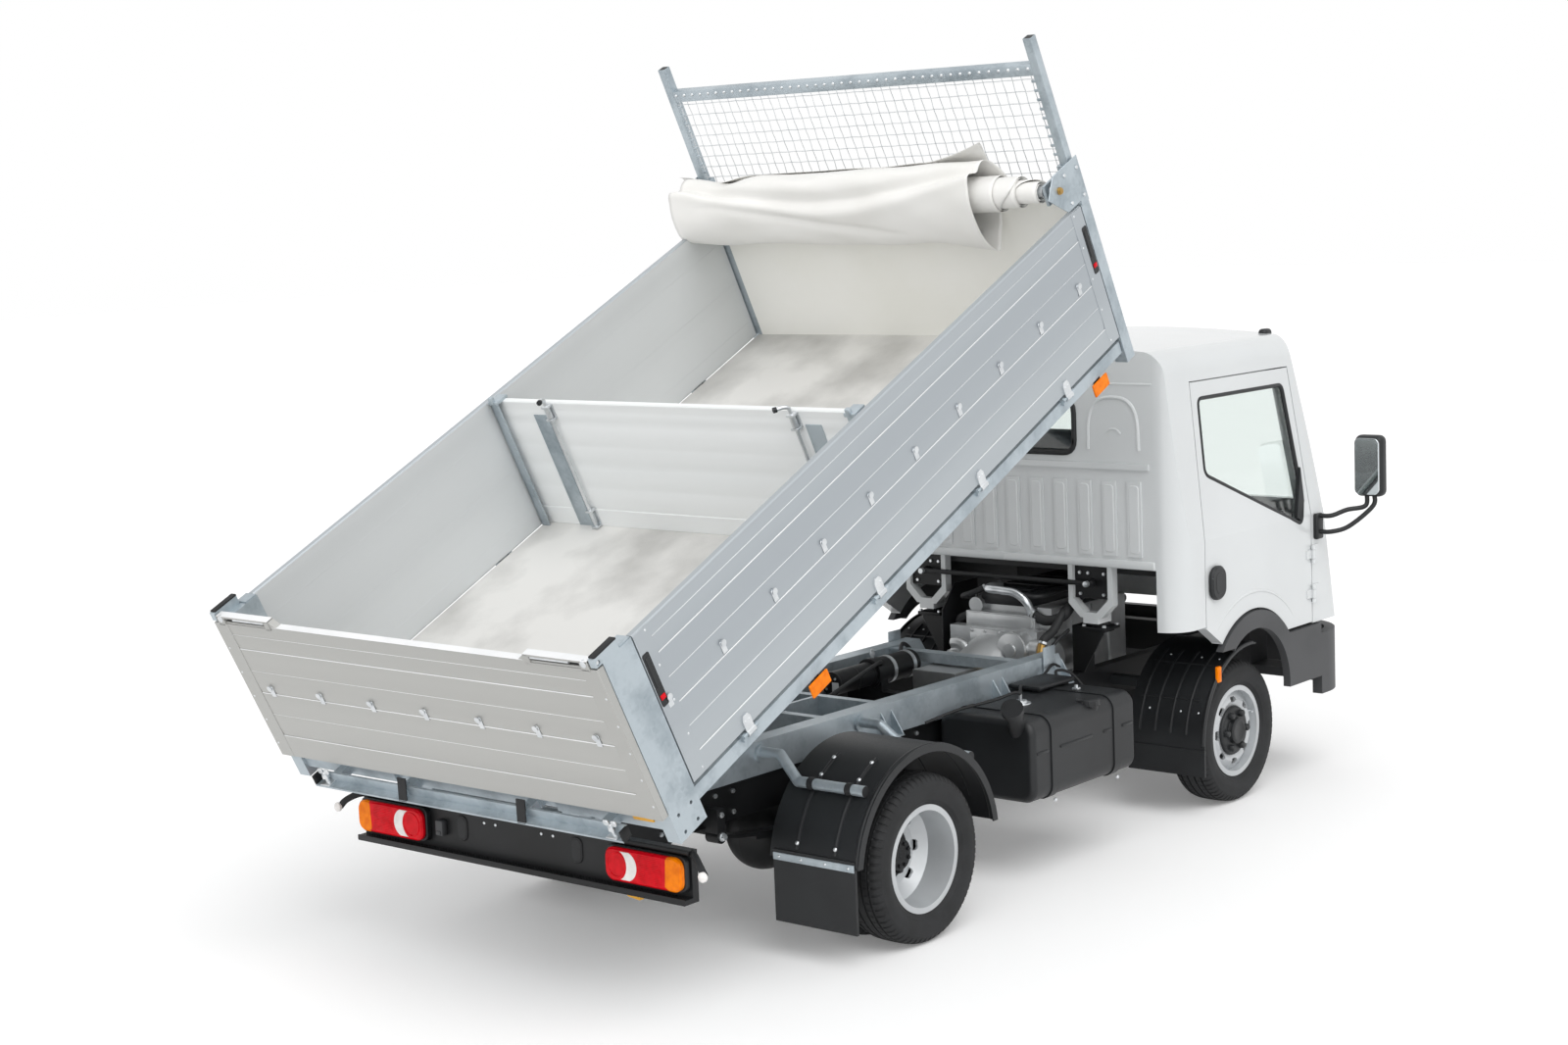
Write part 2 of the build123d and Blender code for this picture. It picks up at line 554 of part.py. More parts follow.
# Stands under the cab's rear end
STAND_X = REAR_AXLE_X + 1985
STAND_TOP_Z = 860
LOCK_Y = 455
with BuildPart() as cab_mounts:
    for side in (1, -1):
        slab((STAND_X - 45, STAND_X + 45), (side * (RAIL_Y - 54), side * RAIL_Y), (RAIL_TOP_Z, STAND_TOP_Z))
        slab((STAND_X - 45, STAND_X + 45), (side * (RAIL_Y - 54), side * (LOCK_Y + 45)), (STAND_TOP_Z - 24, STAND_TOP_Z))
        with Locations((STAND_X, side * LOCK_Y, STAND_TOP_Z + 10)):
            Cylinder(36, 20)
        # Hinge posts at the frame's front end carry the pins the cab tilts on
        post_y = (side * (RAIL_Y - 54), side * RAIL_Y)
        slab((RAIL_FRONT_X - 60, TILT_X - 20), post_y, (RAIL_TOP_Z, TILT_Z + 20))
        slab((TILT_X - 20, TILT_X), post_y, (TILT_Z - 20, TILT_Z + 20))
        across(TILT_X, post_y, TILT_Z, 20)
        across(TILT_X, (side * (RAIL_Y - 54), side * (RAIL_Y + 60)), TILT_Z, TILT_PIN)
save(cab_mounts, "cab_mounts")

# Cab form: a nose swept along the screen's and the front panel's slope,
# trimmed by the roof line, the leaning sides and the rounded rear corners
SCREEN_RUN = (HEADER_X - FOOT_X, 0, ROOF_Z - FOOT_Z)
PANEL_RUN = (FRONT_X - FOOT_X, 0, CAB_LOW_Z - FOOT_Z)
NOSE_CORNER = 300
NOSE_BOW = 40
REAR_CORNER = 120


def cab_block(inset):
    """The closed cab form drawn in by inset on every face but the lower one."""
    nose_half = CAB_HALF + 30 - inset
    nose_x = FOOT_X - inset
    back_x = CAB_BACK_X + inset
    top_z = ROOF_Z - inset
    with BuildPart() as block:
        with BuildSketch(Plane.XY.offset(FOOT_Z)) as plan:
            with BuildLine():
                Line((back_x - 600, -nose_half), (nose_x, -nose_half))
                ThreePointArc((nose_x, -nose_half), (nose_x + NOSE_BOW, 0), (nose_x, nose_half))
                Polyline((nose_x, nose_half), (back_x - 600, nose_half), (back_x - 600, -nose_half))
            make_face()
            fillet(plan.vertices().group_by(Axis.X)[-1], NOSE_CORNER - inset)
        extrude(plan.sketch, amount=1100, dir=SCREEN_RUN)
        extrude(plan.sketch, amount=800, dir=PANEL_RUN)
        with BuildSketch(Plane.XZ) as side_view:
            with BuildLine():
                Polyline(
                    (back_x, 300),
                    (back_x, top_z - 30),
                    (HEADER_X - 60, top_z),
                    (HEADER_X + 90, top_z - 60),
                    (FRONT_X + 200, FOOT_Z),
                    (FRONT_X + 200, 300),
                    close=True,
                )
            make_face()
            fillet(side_view.vertices().sort_by(Axis.Y)[-3:], 90 - inset / 2)
        extrude(amount=2000, both=True, mode=Mode.INTERSECT)
        with BuildSketch(Plane.YZ) as front_view:
            half = CAB_HALF - inset
            roof = ROOF_HALF - inset
            with BuildLine():
                Polyline((-roof, top_z - 40), (-half, BELT_Z), (-half, 300), (half, 300), (half, BELT_Z), (roof, top_z - 40))
                ThreePointArc((-roof, top_z - 40), (0, top_z), (roof, top_z - 40))
            make_face()
            fillet(front_view.vertices().group_by(Axis.Y)[-1], 110 - inset / 2)
        extrude(amount=6000, both=True, mode=Mode.INTERSECT)
        with BuildSketch(Plane.XY) as rear_plan:
            with Locations(((back_x + FRONT_X + 400) / 2, 0)):
                Rectangle(FRONT_X + 400 - back_x, 2 * (CAB_HALF - inset))
            fillet(rear_plan.vertices().group_by(Axis.X)[0], REAR_CORNER - inset)
        extrude(amount=3000, both=True, mode=Mode.INTERSECT)
    return block.part


def cab_skin(depth_out, depth_in):
    """The cab's skin between two depths below its outer face."""
    return cab_block(depth_out) - cab_block(depth_in)


CAB_SHELL = cab_skin(0, CAB_WALL)
GLASS_SKIN = cab_skin(16, 24)

# Outlines drawn from the side: door, its opening, its window
A_PILLAR_X = DOOR_FRONT_X - 95


def door_outline(gap):
    """The door's outline drawn in by gap; the arch trim's upper edge bounds it below."""
    with BuildSketch(Plane.XZ) as outline:
        with BuildLine():
            Polyline(
                (DOOR_REAR_X + gap, SIDE_LOW_Z - 200),
                (DOOR_REAR_X + gap, DOOR_TOP_Z - gap),
                (A_PILLAR_X - gap, DOOR_TOP_Z - gap),
                (DOOR_FRONT_X - gap, BELT_Z),
                (DOOR_FRONT_X - gap, CAB_LOW_Z + gap),
                (ARCH_X, CAB_LOW_Z + gap),
                (ARCH_X, SIDE_LOW_Z - 200),
                close=True,
            )
        make_face()
        with Locations((ARCH_X, ARCH_Z)):
            Circle(ARCH_OUT + gap, mode=Mode.SUBTRACT)
        slope_low = (DOOR_REAR_X - 20, SIDE_LOW_Z + gap)
        slope_end = (ARCH_X - 280, 770 + gap)
        with BuildLine():
            Polyline(slope_low, slope_end, (slope_end[0], 500), (slope_low[0], 500), close=True)
        make_face(mode=Mode.SUBTRACT)
    return outline.sketch


def door_window(gap):
    """The door window's outline drawn in by gap, with its sill falling to the front."""
    with BuildSketch(Plane.XZ) as outline:
        with BuildLine():
            Polyline(
                (DOOR_REAR_X + 58, 1535),
                (DOOR_REAR_X + 58, 1866),
                (A_PILLAR_X - 62, 1866),
                (DOOR_FRONT_X - 62, 1330),
                (DOOR_FRONT_X - 90, 1215),
                close=True,
            )
        make_face()
        fillet(outline.vertices(), 28)
        if gap:
            offset(amount=-gap, mode=Mode.REPLACE)
    return outline.sketch


SKIN_DEEP_Y = 640
DOOR_AXIS_X = DOOR_FRONT_X - MOVE_GAP
DOOR_AXIS_Y = CAB_HALF + 12
DOOR_HINGE_Z = (880, 1065)
DOOR_BARREL = 10
DOOR_PIN = 5

# Doors and their glass
for side, name in ((1, "left"), (-1, "right")):
    with BuildPart() as door:
        add(CAB_SHELL)
        extrude(door_outline(MOVE_GAP), amount=-side * 1200, mode=Mode.INTERSECT)
        slab((0, 5000), (0, side * SKIN_DEEP_Y), (0, 3000), Mode.SUBTRACT)
        extrude(door_window(0), amount=-side * 1200, mode=Mode.SUBTRACT)
        handle_x = DOOR_REAR_X + 85
        slab((handle_x - 55, handle_x + 55), (side * (CAB_HALF - 6), side * (CAB_HALF + 22)), (1050, 1085))
        for z in DOOR_HINGE_Z:
            strap_y = (side * (CAB_HALF - 2), side * (CAB_HALF + 6))
            slab((DOOR_AXIS_X - 50, DOOR_AXIS_X), strap_y, (z - 20, z + 20))
            with Locations((DOOR_AXIS_X, side * DOOR_AXIS_Y, z)):
                Cylinder(DOOR_BARREL, 40)
                Cylinder(DOOR_PIN + RUN_GAP, 42, mode=Mode.SUBTRACT)
    save(door, f"door_{name}")
    with BuildPart() as glass:
        add(GLASS_SKIN)
        extrude(door_window(RUN_GAP), amount=-side * 1200, mode=Mode.INTERSECT)
        slab((0, 5000), (0, side * SKIN_DEEP_Y), (0, 3000), Mode.SUBTRACT)
    save(glass, f"door_glass_{name}")

# Openings in the fixed cab skin
SCREEN_LOW_Z = FOOT_Z + 60
SCREEN_TOP_Z = 1930
SCREEN_LOW_Y = 800
SCREEN_TOP_Y = 740
REAR_GLASS = ((-400, 400), (1640, 1880))


def screen_outline(gap):
    """The windscreen opening seen from the front, drawn in by gap."""
    with BuildSketch(Plane.YZ) as outline:
        with BuildLine():
            Polyline(
                (-SCREEN_LOW_Y, SCREEN_LOW_Z),
                (SCREEN_LOW_Y, SCREEN_LOW_Z),
                (SCREEN_TOP_Y, SCREEN_TOP_Z),
                (-SCREEN_TOP_Y, SCREEN_TOP_Z),
                close=True,
            )
        make_face()
        fillet(outline.vertices(), 60)
        if gap:
            offset(amount=-gap, mode=Mode.REPLACE)
    return outline.sketch


def rear_glass_outline(gap):
    """The rear window seen along X, drawn in by gap."""
    (low_y, high_y), (low_z, high_z) = REAR_GLASS
    with BuildSketch(Plane.YZ) as outline:
        with Locations(((low_y + high_y) / 2, (low_z + high_z) / 2)):
            RectangleRounded(high_y - low_y - 2 * gap, high_z - low_z - 2 * gap, 60)
    return outline.sketch


LAMP_Y = (560, 840)
LAMP_Z = (800, 990)


def lamp_outline(gap):
    """Both headlamps seen from the front, drawn in by gap."""
    with BuildSketch(Plane.YZ) as outline:
        for side in (1, -1):
            with Locations((side * (LAMP_Y[0] + LAMP_Y[1]) / 2, (LAMP_Z[0] + LAMP_Z[1]) / 2)):
                RectangleRounded(LAMP_Y[1] - LAMP_Y[0] - 2 * gap, LAMP_Z[1] - LAMP_Z[0] - 2 * gap, 50)
    return outline.sketch


MID_X = (DOOR_REAR_X + DOOR_FRONT_X) / 2
with BuildPart() as fixed_skin:
    add(CAB_SHELL)
    slab((0, 5000), (-2000, 2000), (0, CAB_LOW_Z), Mode.SUBTRACT)
    extrude(door_outline(0), amount=2000, both=True, mode=Mode.SUBTRACT)
    slab((CAB_BACK_X - 100, DOOR_REAR_X + 1), (-2000, 2000), (0, SIDE_LOW_Z), Mode.SUBTRACT)
    slab((CAB_BACK_X - 100, CAB_BACK_X + REAR_CORNER), (-CAB_HALF + REAR_CORNER, CAB_HALF - REAR_CORNER), (0, BACK_LOW_Z), Mode.SUBTRACT)
    slab((DOOR_REAR_X, DOOR_FRONT_X), (-2000, 2000), (0, 1100), Mode.SUBTRACT)

# Rear wall with quarter panels, ribs and the two lock frames below it
LOOP_HALF = 115
LOOP_BAR = 24
LOOP_CUT = 60
LOOP_DEEP = 44
LOOP_LOW_Z = STAND_TOP_Z + 46
LOCK_ROD_Z = 1062
RIB_COUNT = 12
RIB_PITCH = 128
with BuildPart() as cab_back:
    add(fixed_skin.part)
    slab((MID_X, 5000), (-2000, 2000), (0, 3000), Mode.SUBTRACT)
    slab((0, 5000), (-2000, 2000), (ROOF_SEAM_Z, 3000), Mode.SUBTRACT)
    extrude(rear_glass_outline(0), amount=MID_X, mode=Mode.SUBTRACT)
    with Locations((CAB_BACK_X - 3, 0, 1360)):
        with GridLocations(1, RIB_PITCH, 1, RIB_COUNT):
            Box(10, 70, 330)
    with Locations((CAB_BACK_X - 4, 0, 1590)):
        Box(12, 1560, 26)
    # Loops hanging below the wall, each with a cup over its stand
    with BuildSketch(Plane.YZ.offset(CAB_BACK_X + 10)) as loops:
        for side in (1, -1):
            for grow, mode in ((LOOP_HALF, Mode.ADD), (LOOP_HALF - LOOP_BAR, Mode.SUBTRACT)):
                low_z = LOOP_LOW_Z + LOOP_HALF - grow
                with BuildLine():
                    Polyline(
                        (side * LOCK_Y - grow, BACK_LOW_Z + 20),
                        (side * LOCK_Y - grow, low_z + LOOP_CUT),
                        (side * LOCK_Y - grow + LOOP_CUT, low_z),
                        (side * LOCK_Y + grow - LOOP_CUT, low_z),
                        (side * LOCK_Y + grow, low_z + LOOP_CUT),
                        (side * LOCK_Y + grow, BACK_LOW_Z + 20),
                        close=True,
                    )
                make_face(mode=mode)
    extrude(loops.sketch, amount=LOOP_DEEP)
    for side in (1, -1):
        cup_z = (STAND_TOP_Z + 20 + RUN_GAP, LOOP_LOW_Z + 10)
        slab((CAB_BACK_X + 10, STAND_X + 30), (side * (LOCK_Y - 40), side * (LOCK_Y + 40)), cup_z)
save(cab_back, "cab_back")

# Lock plates in the loops and the release rod between them
with BuildPart() as cab_locks:
    for side in (1, -1):
        plate_y = (side * LOCK_Y - LOOP_HALF + LOOP_BAR, side * LOCK_Y + LOOP_HALF - LOOP_BAR)
        slab((CAB_BACK_X + 30, CAB_BACK_X + 46), plate_y, (LOOP_LOW_Z + LOOP_BAR + LOOP_CUT, BACK_LOW_Z))
        rod((CAB_BACK_X - 2, side * LOCK_Y, LOCK_ROD_Z), (CAB_BACK_X + 36, side * LOCK_Y, LOCK_ROD_Z), 17)
    across(CAB_BACK_X - 2, (-LOCK_Y - 30, LOCK_Y + 30), LOCK_ROD_Z, 11)
save(cab_locks, "cab_locks")

# Roof panel above the doors
with BuildPart() as cab_roof:
    add(fixed_skin.part)
    slab((0, 5000), (-2000, 2000), (0, ROOF_SEAM_Z), Mode.SUBTRACT)
save(cab_roof, "cab_roof")

# Shallow recess for the grille between the headlamps
GRILLE_HALF = 470
GRILLE_Z = (835, 955)
with BuildPart() as grille_recess:
    add(cab_skin(0, 16))
    slab((FOOT_X, 5000), (-GRILLE_HALF, GRILLE_HALF), GRILLE_Z, Mode.INTERSECT)

# Front panel with both A-pillars and the tilt ears
EAR_Y = (RAIL_Y + 8, RAIL_Y + 48)
with BuildPart() as cab_front:
    add(fixed_skin.part)
    slab((0, MID_X), (-2000, 2000), (0, 3000), Mode.SUBTRACT)
    slab((0, 5000), (-2000, 2000), (ROOF_SEAM_Z, 3000), Mode.SUBTRACT)
    extrude(screen_outline(0), amount=5000, mode=Mode.SUBTRACT)
    extrude(lamp_outline(0), amount=5000, mode=Mode.SUBTRACT)
    add(grille_recess.part, mode=Mode.SUBTRACT)
    for side in (1, -1):
        ear_y = (side * EAR_Y[0], side * EAR_Y[1])
        slab((TILT_X - 24, TILT_X - 4), ear_y, (TILT_Z, CAB_LOW_Z + 80))
        across(TILT_X, ear_y, TILT_Z, 24)
        across(TILT_X, (side * 380, side * 460), TILT_Z, TILT_PIN + RUN_GAP, Mode.SUBTRACT)
        for z in DOOR_HINGE_Z:
            plate_y = (side * (CAB_HALF - 2), side * (CAB_HALF + 6))
            slab((DOOR_FRONT_X + 8, DOOR_FRONT_X + 56), plate_y, (z - 42, z + 42))
            for low, high in ((z - 42, z - 22), (z + 22, z + 42)):
                slab((DOOR_AXIS_X, DOOR_FRONT_X + 10), (side * (CAB_HALF + 2), side * (CAB_HALF + 6)), (low, high))
                with Locations((DOOR_AXIS_X, side * DOOR_AXIS_Y, (low + high) / 2)):
                    Cylinder(DOOR_BARREL, high - low)
            with Locations((DOOR_AXIS_X, side * DOOR_AXIS_Y, z)):
                Cylinder(DOOR_PIN, 84)
save(cab_front, "cab_front")

# Windscreen and rear window
with BuildPart() as cab_glass:
    with BuildPart(mode=Mode.PRIVATE) as screen:
        add(GLASS_SKIN)
        slab((0, MID_X), (-2000, 2000), (0, 3000), Mode.SUBTRACT)
        extrude(screen_outline(RUN_GAP), amount=5000, mode=Mode.INTERSECT)
    with BuildPart(mode=Mode.PRIVATE) as back_pane:
        add(GLASS_SKIN)
        slab((MID_X, 5000), (-2000, 2000), (0, 3000), Mode.SUBTRACT)
        extrude(rear_glass_outline(RUN_GAP), amount=5000, mode=Mode.INTERSECT)
    add(screen.part)
    add(back_pane.part)
save(cab_glass, "cab_glass")

with BuildPart() as headlamps:
    add(cab_skin(4, 44))
    slab((0, MID_X), (-2000, 2000), (0, 3000), Mode.SUBTRACT)
    extrude(lamp_outline(RUN_GAP), amount=5000, mode=Mode.INTERSECT)
save(headlamps, "headlamps")

# Cab floor: high over the engine at the back, low footwells beside the tunnel
FLOOR_IN_Y = CAB_HALF - CAB_WALL - MOVE_GAP
RISER_X = REAR_AXLE_X + 2560
WELL_Z = 830
TUNNEL_Y = 430
FLOOR_FRONT_X = REAR_AXLE_X + 3250
with BuildPart() as cab_floor:
    slab((CAB_BACK_X + CAB_WALL + RUN_GAP, RISER_X), (-FLOOR_IN_Y, FLOOR_IN_Y), (1105, BACK_LOW_Z))
    slab((RISER_X, FLOOR_FRONT_X - 60), (-TUNNEL_Y, TUNNEL_Y), (1065, 1105))
    slab((RISER_X, RISER_X + 35), (-TUNNEL_Y, TUNNEL_Y), (1065, BACK_LOW_Z))
    for side in (1, -1):
        slab((RISER_X, RISER_X + 35), (side * TUNNEL_Y, side * FLOOR_IN_Y), (WELL_Z, BACK_LOW_Z))
        slab((RISER_X, FLOOR_FRONT_X), (side * TUNNEL_Y, side * (FLOOR_IN_Y - 70)), (WELL_Z, WELL_Z + 35))
        slab((RISER_X, FLOOR_FRONT_X - 60), (side * (TUNNEL_Y - 35), side * TUNNEL_Y), (WELL_Z, 1105))
    add(cab_block(CAB_WALL + RUN_GAP), mode=Mode.INTERSECT)
save(cab_floor, "cab_floor")

# Dashboard with column and steering wheel on the left
WHEEL_CENTRE = (REAR_AXLE_X + 2800, 430, 1400)
WHEEL_LEAN = (-0.5, 0, 0.86)
with BuildPart() as dashboard:
    slab((FLOOR_FRONT_X - 330, FLOOR_FRONT_X - 60), (-780, 780), (1105, 1240))
    rod((FLOOR_FRONT_X - 200, WHEEL_CENTRE[1], 1180), (WHEEL_CENTRE[0] + 8, WHEEL_CENTRE[1], 1390), 34)
    with Locations(Plane(origin=WHEEL_CENTRE, z_dir=WHEEL_LEAN)):
        Torus(190, 15)
        Box(380, 44, 14)
save(dashboard, "dashboard")

# Seats: one driver's seat and a double bench
SEAT_X = CAB_BACK_X + CAB_WALL + 80
with BuildPart() as seats:
    for low_y, high_y in ((180, 720), (-740, 130)):
        slab((SEAT_X, SEAT_X + 520), (low_y, high_y), (BACK_LOW_Z, BACK_LOW_Z + 160))
        slab((SEAT_X, SEAT_X + 130), (low_y, high_y), (BACK_LOW_Z, BACK_LOW_Z + 580))
    fillet(seats.edges().filter_by(Axis.Y), 30)
save(seats, "seats")

# Mirrors on two tube arms from the A-pillars
MIRROR_X = REAR_AXLE_X + 3230
with BuildPart() as mirrors:
    for side in (1, -1):
        for z in (1240, 1165):
            rod((DOOR_FRONT_X + 40, side * (CAB_HALF + 13), z), (MIRROR_X, side * 1130, z + 150), 11)
        slab((DOOR_FRONT_X + 15, DOOR_FRONT_X + 75), (side * CAB_HALF, side * (CAB_HALF + 24)), (1130, BELT_Z))
        slab((MIRROR_X - 30, MIRROR_X + 60), (side * 1060, side * 1205), (1320, 1610))
        slab((MIRROR_X - 14, MIRROR_X + 14), (side * 1100, side * 1150), (1260, 1330))
save(mirrors, "mirrors")

# Dark arch trim and lower panels beside the front wheels
TRIM_Y = (CAB_HALF - 24, CAB_HALF + 12)
TRIM_LOW_Z = 480
TRIM_GAP = 4
TRIM_FRONT_X = REAR_AXLE_X + 3120
with BuildPart() as cab_trim:
    for side in (1, -1):
        with BuildSketch(Plane.XZ.offset(-side * TRIM_Y[0])):
            with Locations((ARCH_X, ARCH_Z)):
                Circle(ARCH_OUT - TRIM_GAP)
                Rectangle(2000, 2000, align=(Align.MAX, Align.MAX), mode=Mode.SUBTRACT)
                Rectangle(2000, 2000, align=(Align.MIN, Align.MAX), mode=Mode.SUBTRACT)
            with Locations(((ARCH_X + TRIM_FRONT_X) / 2, (TRIM_LOW_Z + CAB_LOW_Z - 8) / 2)):
                Rectangle(TRIM_FRONT_X - ARCH_X, CAB_LOW_Z - 8 - TRIM_LOW_Z)
            with Locations((ARCH_X, ARCH_Z)):
                Circle(ARCH_IN, mode=Mode.SUBTRACT)
            with Locations((ARCH_X - ARCH_OUT, ARCH_Z + 240)):
                Rectangle(ARCH_OUT, 500, align=(Align.CENTER, Align.MAX), mode=Mode.SUBTRACT)
        extrude(amount=-side * (TRIM_Y[1] - TRIM_Y[0]))
        # Step plate behind the lower panel, up to the footwell floor
        step_x = (TRIM_FRONT_X - 180, TRIM_FRONT_X - 20)
        slab(step_x, (side * 620, side * (TRIM_Y[0] + 6)), (TRIM_LOW_Z + 20, TRIM_LOW_Z + 60))
        slab(step_x, (side * 620, side * 660), (TRIM_LOW_Z + 20, WELL_Z))
save(cab_trim, "cab_trim")

# Front bumper wrapped round the nose, on the frame's front end
with BuildPart() as front_bumper:
    with BuildSketch(Plane.XY.offset(390)) as wrap:
        nose_x = FRONT_X + 20
        with BuildLine():
            Line((DOOR_FRONT_X, -CAB_HALF - 4), (nose_x, -CAB_HALF - 4))
            ThreePointArc((nose_x, -CAB_HALF - 4), (nose_x + NOSE_BOW, 0), (nose_x, CAB_HALF + 4))
            Polyline((nose_x, CAB_HALF + 4), (DOOR_FRONT_X, CAB_HALF + 4), (DOOR_FRONT_X, -CAB_HALF - 4))
        make_face()
        fillet(wrap.vertices().group_by(Axis.X)[-1], 260)
        offset(amount=-50, mode=Mode.SUBTRACT)
    extrude(amount=BUMPER_TOP_Z - 390)
    slab((0, TRIM_FRONT_X + 14), (-2000, 2000), (0, 1000), Mode.SUBTRACT)
    slab((RAIL_FRONT_X, FRONT_X + 15), (-RAIL_Y, RAIL_Y), (520, 620))
    slab((nose_x + 6, nose_x + 100), (-460, 460), (460, 560), Mode.SUBTRACT)
save(front_bumper, "front_bumper")

# Bed floor
BED_FRONT_U = GATE_U + BED_LENGTH
PANEL_REAR_U = GATE_U + PANEL_THICK + POST_LENGTH + MOVE_GAP
PANEL_FRONT_U = BED_FRONT_U - FRONT_POST_LENGTH - MOVE_GAP
FLOOR_HALF = BED_HALF - PANEL_THICK - MOVE_GAP
FLOOR_LOW_V = FLOOR_V - FLOOR_THICK
with BuildPart(BED) as bed_floor:
    slab((GATE_U + PANEL_THICK + MOVE_GAP, BED_FRONT_U - FRONT_POST_LENGTH), (-FLOOR_HALF, FLOOR_HALF), (FLOOR_LOW_V, FLOOR_V))
    for side in (1, -1):
        post_u = (GATE_U, GATE_U + PANEL_THICK + POST_LENGTH)
        slab(post_u, (side * (BED_HALF - 60), side * BED_HALF), (FLOOR_LOW_V, FLOOR_V), Mode.SUBTRACT)
save(bed_floor, "bed_floor")

# Bed beams: two main beams with the shaft ears, two edge beams with hinge pins
EDGE_Y = (BED_HALF - 70, BED_HALF - 10)
HINGE_U = tuple(GATE_U + u for u in (500, 1330, 2050, 2710))
HINGE_PIN = 7
HINGE_WIDTH = 44
with BuildPart(BED) as bed_beams:
    for side in (1, -1):
        slab((GATE_U + 60, BED_FRONT_U - FRONT_POST_LENGTH), (side * SUB_IN_Y, side * SUB_OUT_Y), (BEAM_LOW_V, FLOOR_LOW_V))
        slab((-52, 52), (side * EAR_IN_Y, side * EAR_OUT_Y), (0, FLOOR_LOW_V))
        slab((-52, 52), (side * SUB_OUT_Y, side * EAR_OUT_Y), (BEAM_LOW_V, FLOOR_LOW_V))
        across(0, (side * EAR_IN_Y, side * EAR_OUT_Y), 0, 52)
        across(0, (side * (EAR_IN_Y - 1), side * (EAR_OUT_Y + 1)), 0, SHAFT_RADIUS + RUN_GAP, Mode.SUBTRACT)
        slab((PANEL_REAR_U, PANEL_FRONT_U), (side * EDGE_Y[0], side * EDGE_Y[1]), (EDGE_LOW_V, FLOOR_LOW_V))
        for u in HINGE_U:
            notch_u = (u - HINGE_WIDTH / 2 - MOVE_GAP, u + HINGE_WIDTH / 2 + MOVE_GAP)
            for end in (-1, 1):
                ear_u = u + end * (HINGE_WIDTH / 2 + MOVE_GAP + 8)
                slab((ear_u - 8, ear_u + 8), (side * (FLOOR_HALF + 4), side * SIDE_AXIS_Y), (SIDE_AXIS_V - 20, SIDE_AXIS_V + 10))
            along(notch_u, side * SIDE_AXIS_Y, SIDE_AXIS_V, 20, Mode.SUBTRACT)
            pin_u = (notch_u[0] - 14, notch_u[1] + 14)
            along(pin_u, side * SIDE_AXIS_Y, SIDE_AXIS_V, HINGE_PIN)
    # Lugs for the cylinder's eye pin
    eye_u = LIFT_X - PIVOT_X
    for end in (1, -1):
        lug_y = (LIFT_Y + end * 45, LIFT_Y + end * 65)
        slab((eye_u - 50, eye_u + 50), lug_y, (LIFT_EYE_V - 30, FLOOR_LOW_V))
    across(eye_u, (LIFT_Y - 65, LIFT_Y + 65), LIFT_EYE_V, EYE_PIN)
save(bed_beams, "bed_beams")

# Cross members of the bed between main beams and edge beams, and the rear bar
BED_CROSS_U = tuple(GATE_U + u for u in (700, 1150, 1600, 2050, 2500, 2950))
CROSS_LOW_V = EDGE_LOW_V + 12
SILL_U = GATE_U - 42
SILL_HALF = 800
SILL_LOW_V = BEAM_LOW_V - 10
with BuildPart(BED) as bed_crossmembers:
    for u in BED_CROSS_U:
        for low_y, high_y in ((-SUB_IN_Y, SUB_IN_Y), (SUB_OUT_Y, EDGE_Y[0]), (-EDGE_Y[0], -SUB_OUT_Y)):
            if abs(u - eye_u) < 90 and low_y == -SUB_IN_Y:
                continue
            slab((u - 25, u + 25), (low_y, high_y), (CROSS_LOW_V, FLOOR_LOW_V))
    rear_u = GATE_U + PANEL_THICK + 14
    slab((rear_u, rear_u + 26), (-SUB_IN_Y, SUB_IN_Y), (BEAM_LOW_V, FLOOR_LOW_V))
    # Sill bar behind the tailgate's foot, on four arms
    slab((SILL_U, SILL_U + 44), (-SILL_HALF, SILL_HALF), (SILL_LOW_V, SILL_LOW_V + 8))
    slab((SILL_U + 36, SILL_U + 44), (-SILL_HALF, SILL_HALF), (SILL_LOW_V, SILL_LOW_V + 46))
    for y in (-700, -310, 310, 700):
        slab((SILL_U + 40, rear_u), (y - 22, y + 22), (BEAM_LOW_V, BEAM_LOW_V + 34))
    for side in (1, -1):
        slab((rear_u, rear_u + 26), (side * SUB_OUT_Y, side * (BED_HALF - 60)), (BEAM_LOW_V, FLOOR_LOW_V))
save(bed_crossmembers, "bed_crossmembers")

